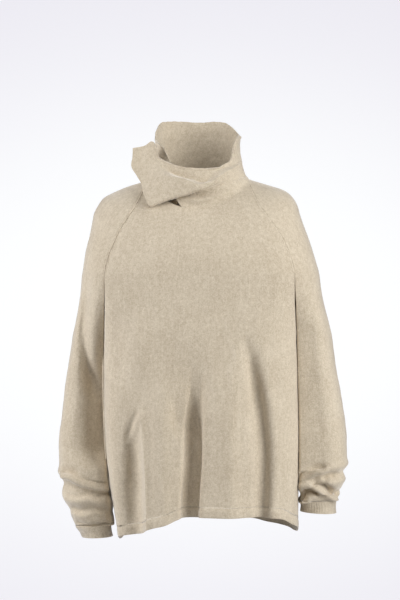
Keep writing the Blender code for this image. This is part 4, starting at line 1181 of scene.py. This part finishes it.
# ---------------------------------------------------------------- stage
def backdrop_material():
    """Pale seamless backdrop that glows; its glow is painted light, a little brighter at mid height and dimmer, more
    lilac, towards the edges.
    """
    mat = bpy.data.materials.new("pale_backdrop")
    mat.use_nodes = True
    nt = mat.node_tree
    b = nt.nodes["Principled BSDF"]
    b.inputs["Base Color"].default_value = (0.10, 0.10, 0.10, 1)
    b.inputs["Roughness"].default_value = 1.0
    b.inputs["Specular IOR Level"].default_value = 0.0
    co = nt.nodes.new("ShaderNodeTexCoord")
    mp = nt.nodes.new("ShaderNodeMapping")
    mp.inputs["Location"].default_value = (0.0, 0.0, 0.25)
    mp.inputs["Scale"].default_value = (0.55, 0.0, 0.85)
    length = nt.nodes.new("ShaderNodeVectorMath")
    length.operation = "LENGTH"
    nt.links.new(co.outputs["Object"], mp.inputs["Vector"])
    nt.links.new(mp.outputs["Vector"], length.inputs[0])
    # painted light: the glow fades from mid height out towards the edges
    ramp = nt.nodes.new("ShaderNodeValToRGB")
    ramp.color_ramp.interpolation = "EASE"
    ramp.color_ramp.elements[0].position = 0.20
    ramp.color_ramp.elements[0].color = (0.940, 0.950, 0.950, 1)
    ramp.color_ramp.elements[1].position = 1.25
    ramp.color_ramp.elements[1].color = (0.780, 0.765, 0.820, 1)
    nt.links.new(length.outputs["Value"], ramp.inputs["Fac"])
    nt.links.new(ramp.outputs["Color"], b.inputs["Emission Color"])
    b.inputs["Emission Strength"].default_value = 0.97
    return mat


def stage_sheet(name, profile, half, mat):
    verts, faces = [], []
    for y, z in profile:
        verts += [(-half, y, z), (half, y, z)]
    for k in range(len(profile) - 1):
        faces.append((2 * k, 2 * k + 1, 2 * k + 3, 2 * k + 2))
    mesh = bpy.data.meshes.new(name)
    mesh.from_pydata(verts, [], faces)
    mesh.polygons.foreach_set("use_smooth", [True] * len(faces))
    mesh.materials.append(mat)
    ob = bpy.data.objects.new(name, mesh)
    bpy.context.scene.collection.objects.link(ob)


def add_stage():
    floor_z = -1.55
    profile = [(1.2, floor_z)]
    for k in range(1, 9):
        a = math.radians(90 * k / 8)
        profile.append((1.2 + 0.7 * math.sin(a), floor_z + 0.7 - 0.7 * math.cos(a)))
    profile.append((1.9, 1.5))
    stage_sheet("backdrop", profile, 1.7, backdrop_material())
    floor = bpy.data.materials.new("pale_floor")
    floor.use_nodes = True
    shader = floor.node_tree.nodes["Principled BSDF"]
    shader.inputs["Base Color"].default_value = (0.55, 0.55, 0.56, 1)
    shader.inputs["Roughness"].default_value = 0.9
    stage_sheet("floor", [(-2.4, floor_z), (1.2, floor_z)], 1.7, floor)


def area_light(name, pos, target, size, power, color=(1, 1, 1), size_y=None):
    data = bpy.data.lights.new(name, "AREA")
    data.energy = power
    data.color = color
    data.shape = "RECTANGLE"
    data.size = size
    data.size_y = size_y or size
    ob = bpy.data.objects.new(name, data)
    ob.location = pos
    ob.rotation_euler = (Vector(target) - Vector(pos)).to_track_quat("-Z", "Y").to_euler()
    bpy.context.scene.collection.objects.link(ob)
    return ob


LIGHTS = [
    # name, degrees round from the front (wearer's left positive), height angle,
    # distance, width, height, power, colour
    ("key", 58, 15, 2.8, 1.6, 2.4, 92.0, (0.97, 1.0, 1.07)),
    ("side", -76, 12, 2.6, 1.2, 2.4, 70.0, (0.97, 1.0, 1.09)),
    ("front", -20, 40, 3.0, 1.2, 1.2, 24.0, (0.97, 1.0, 1.07)),
]
AMBIENT = 0.02


def add_lights():
    for name, turn, lift, far, w, h, power, color in LIGHTS:
        a, e = math.radians(turn), math.radians(lift)
        pos = (far * math.sin(a) * math.cos(e), -far * math.cos(a) * math.cos(e), -0.3 + far * math.sin(e))
        area_light(name, pos, (0, 0, -0.3), w, power, color, h)
    world = bpy.data.worlds.new("studio")
    world.use_nodes = True
    bg = world.node_tree.nodes["Background"]
    bg.inputs["Color"].default_value = (1.0, 1.0, 1.0, 1)
    bg.inputs["Strength"].default_value = AMBIENT
    bpy.context.scene.world = world


def add_camera():
    data = bpy.data.cameras.new("camera")
    data.sensor_fit = "AUTO"
    data.sensor_width = 36.0
    data.lens = 36.0 * 4.0 / 1.26
    ob = bpy.data.objects.new("camera", data)
    ob.location = (0.00483, -4.0, -0.231)
    ob.rotation_euler = (math.radians(90), 0, 0)
    bpy.context.scene.collection.objects.link(ob)
    bpy.context.scene.camera = ob


add_stage()
add_lights()
add_camera()
view = bpy.context.scene.view_settings
view.view_transform = "Standard"
view.look = "None"
view.exposure = 0.0
view.gamma = 1.0
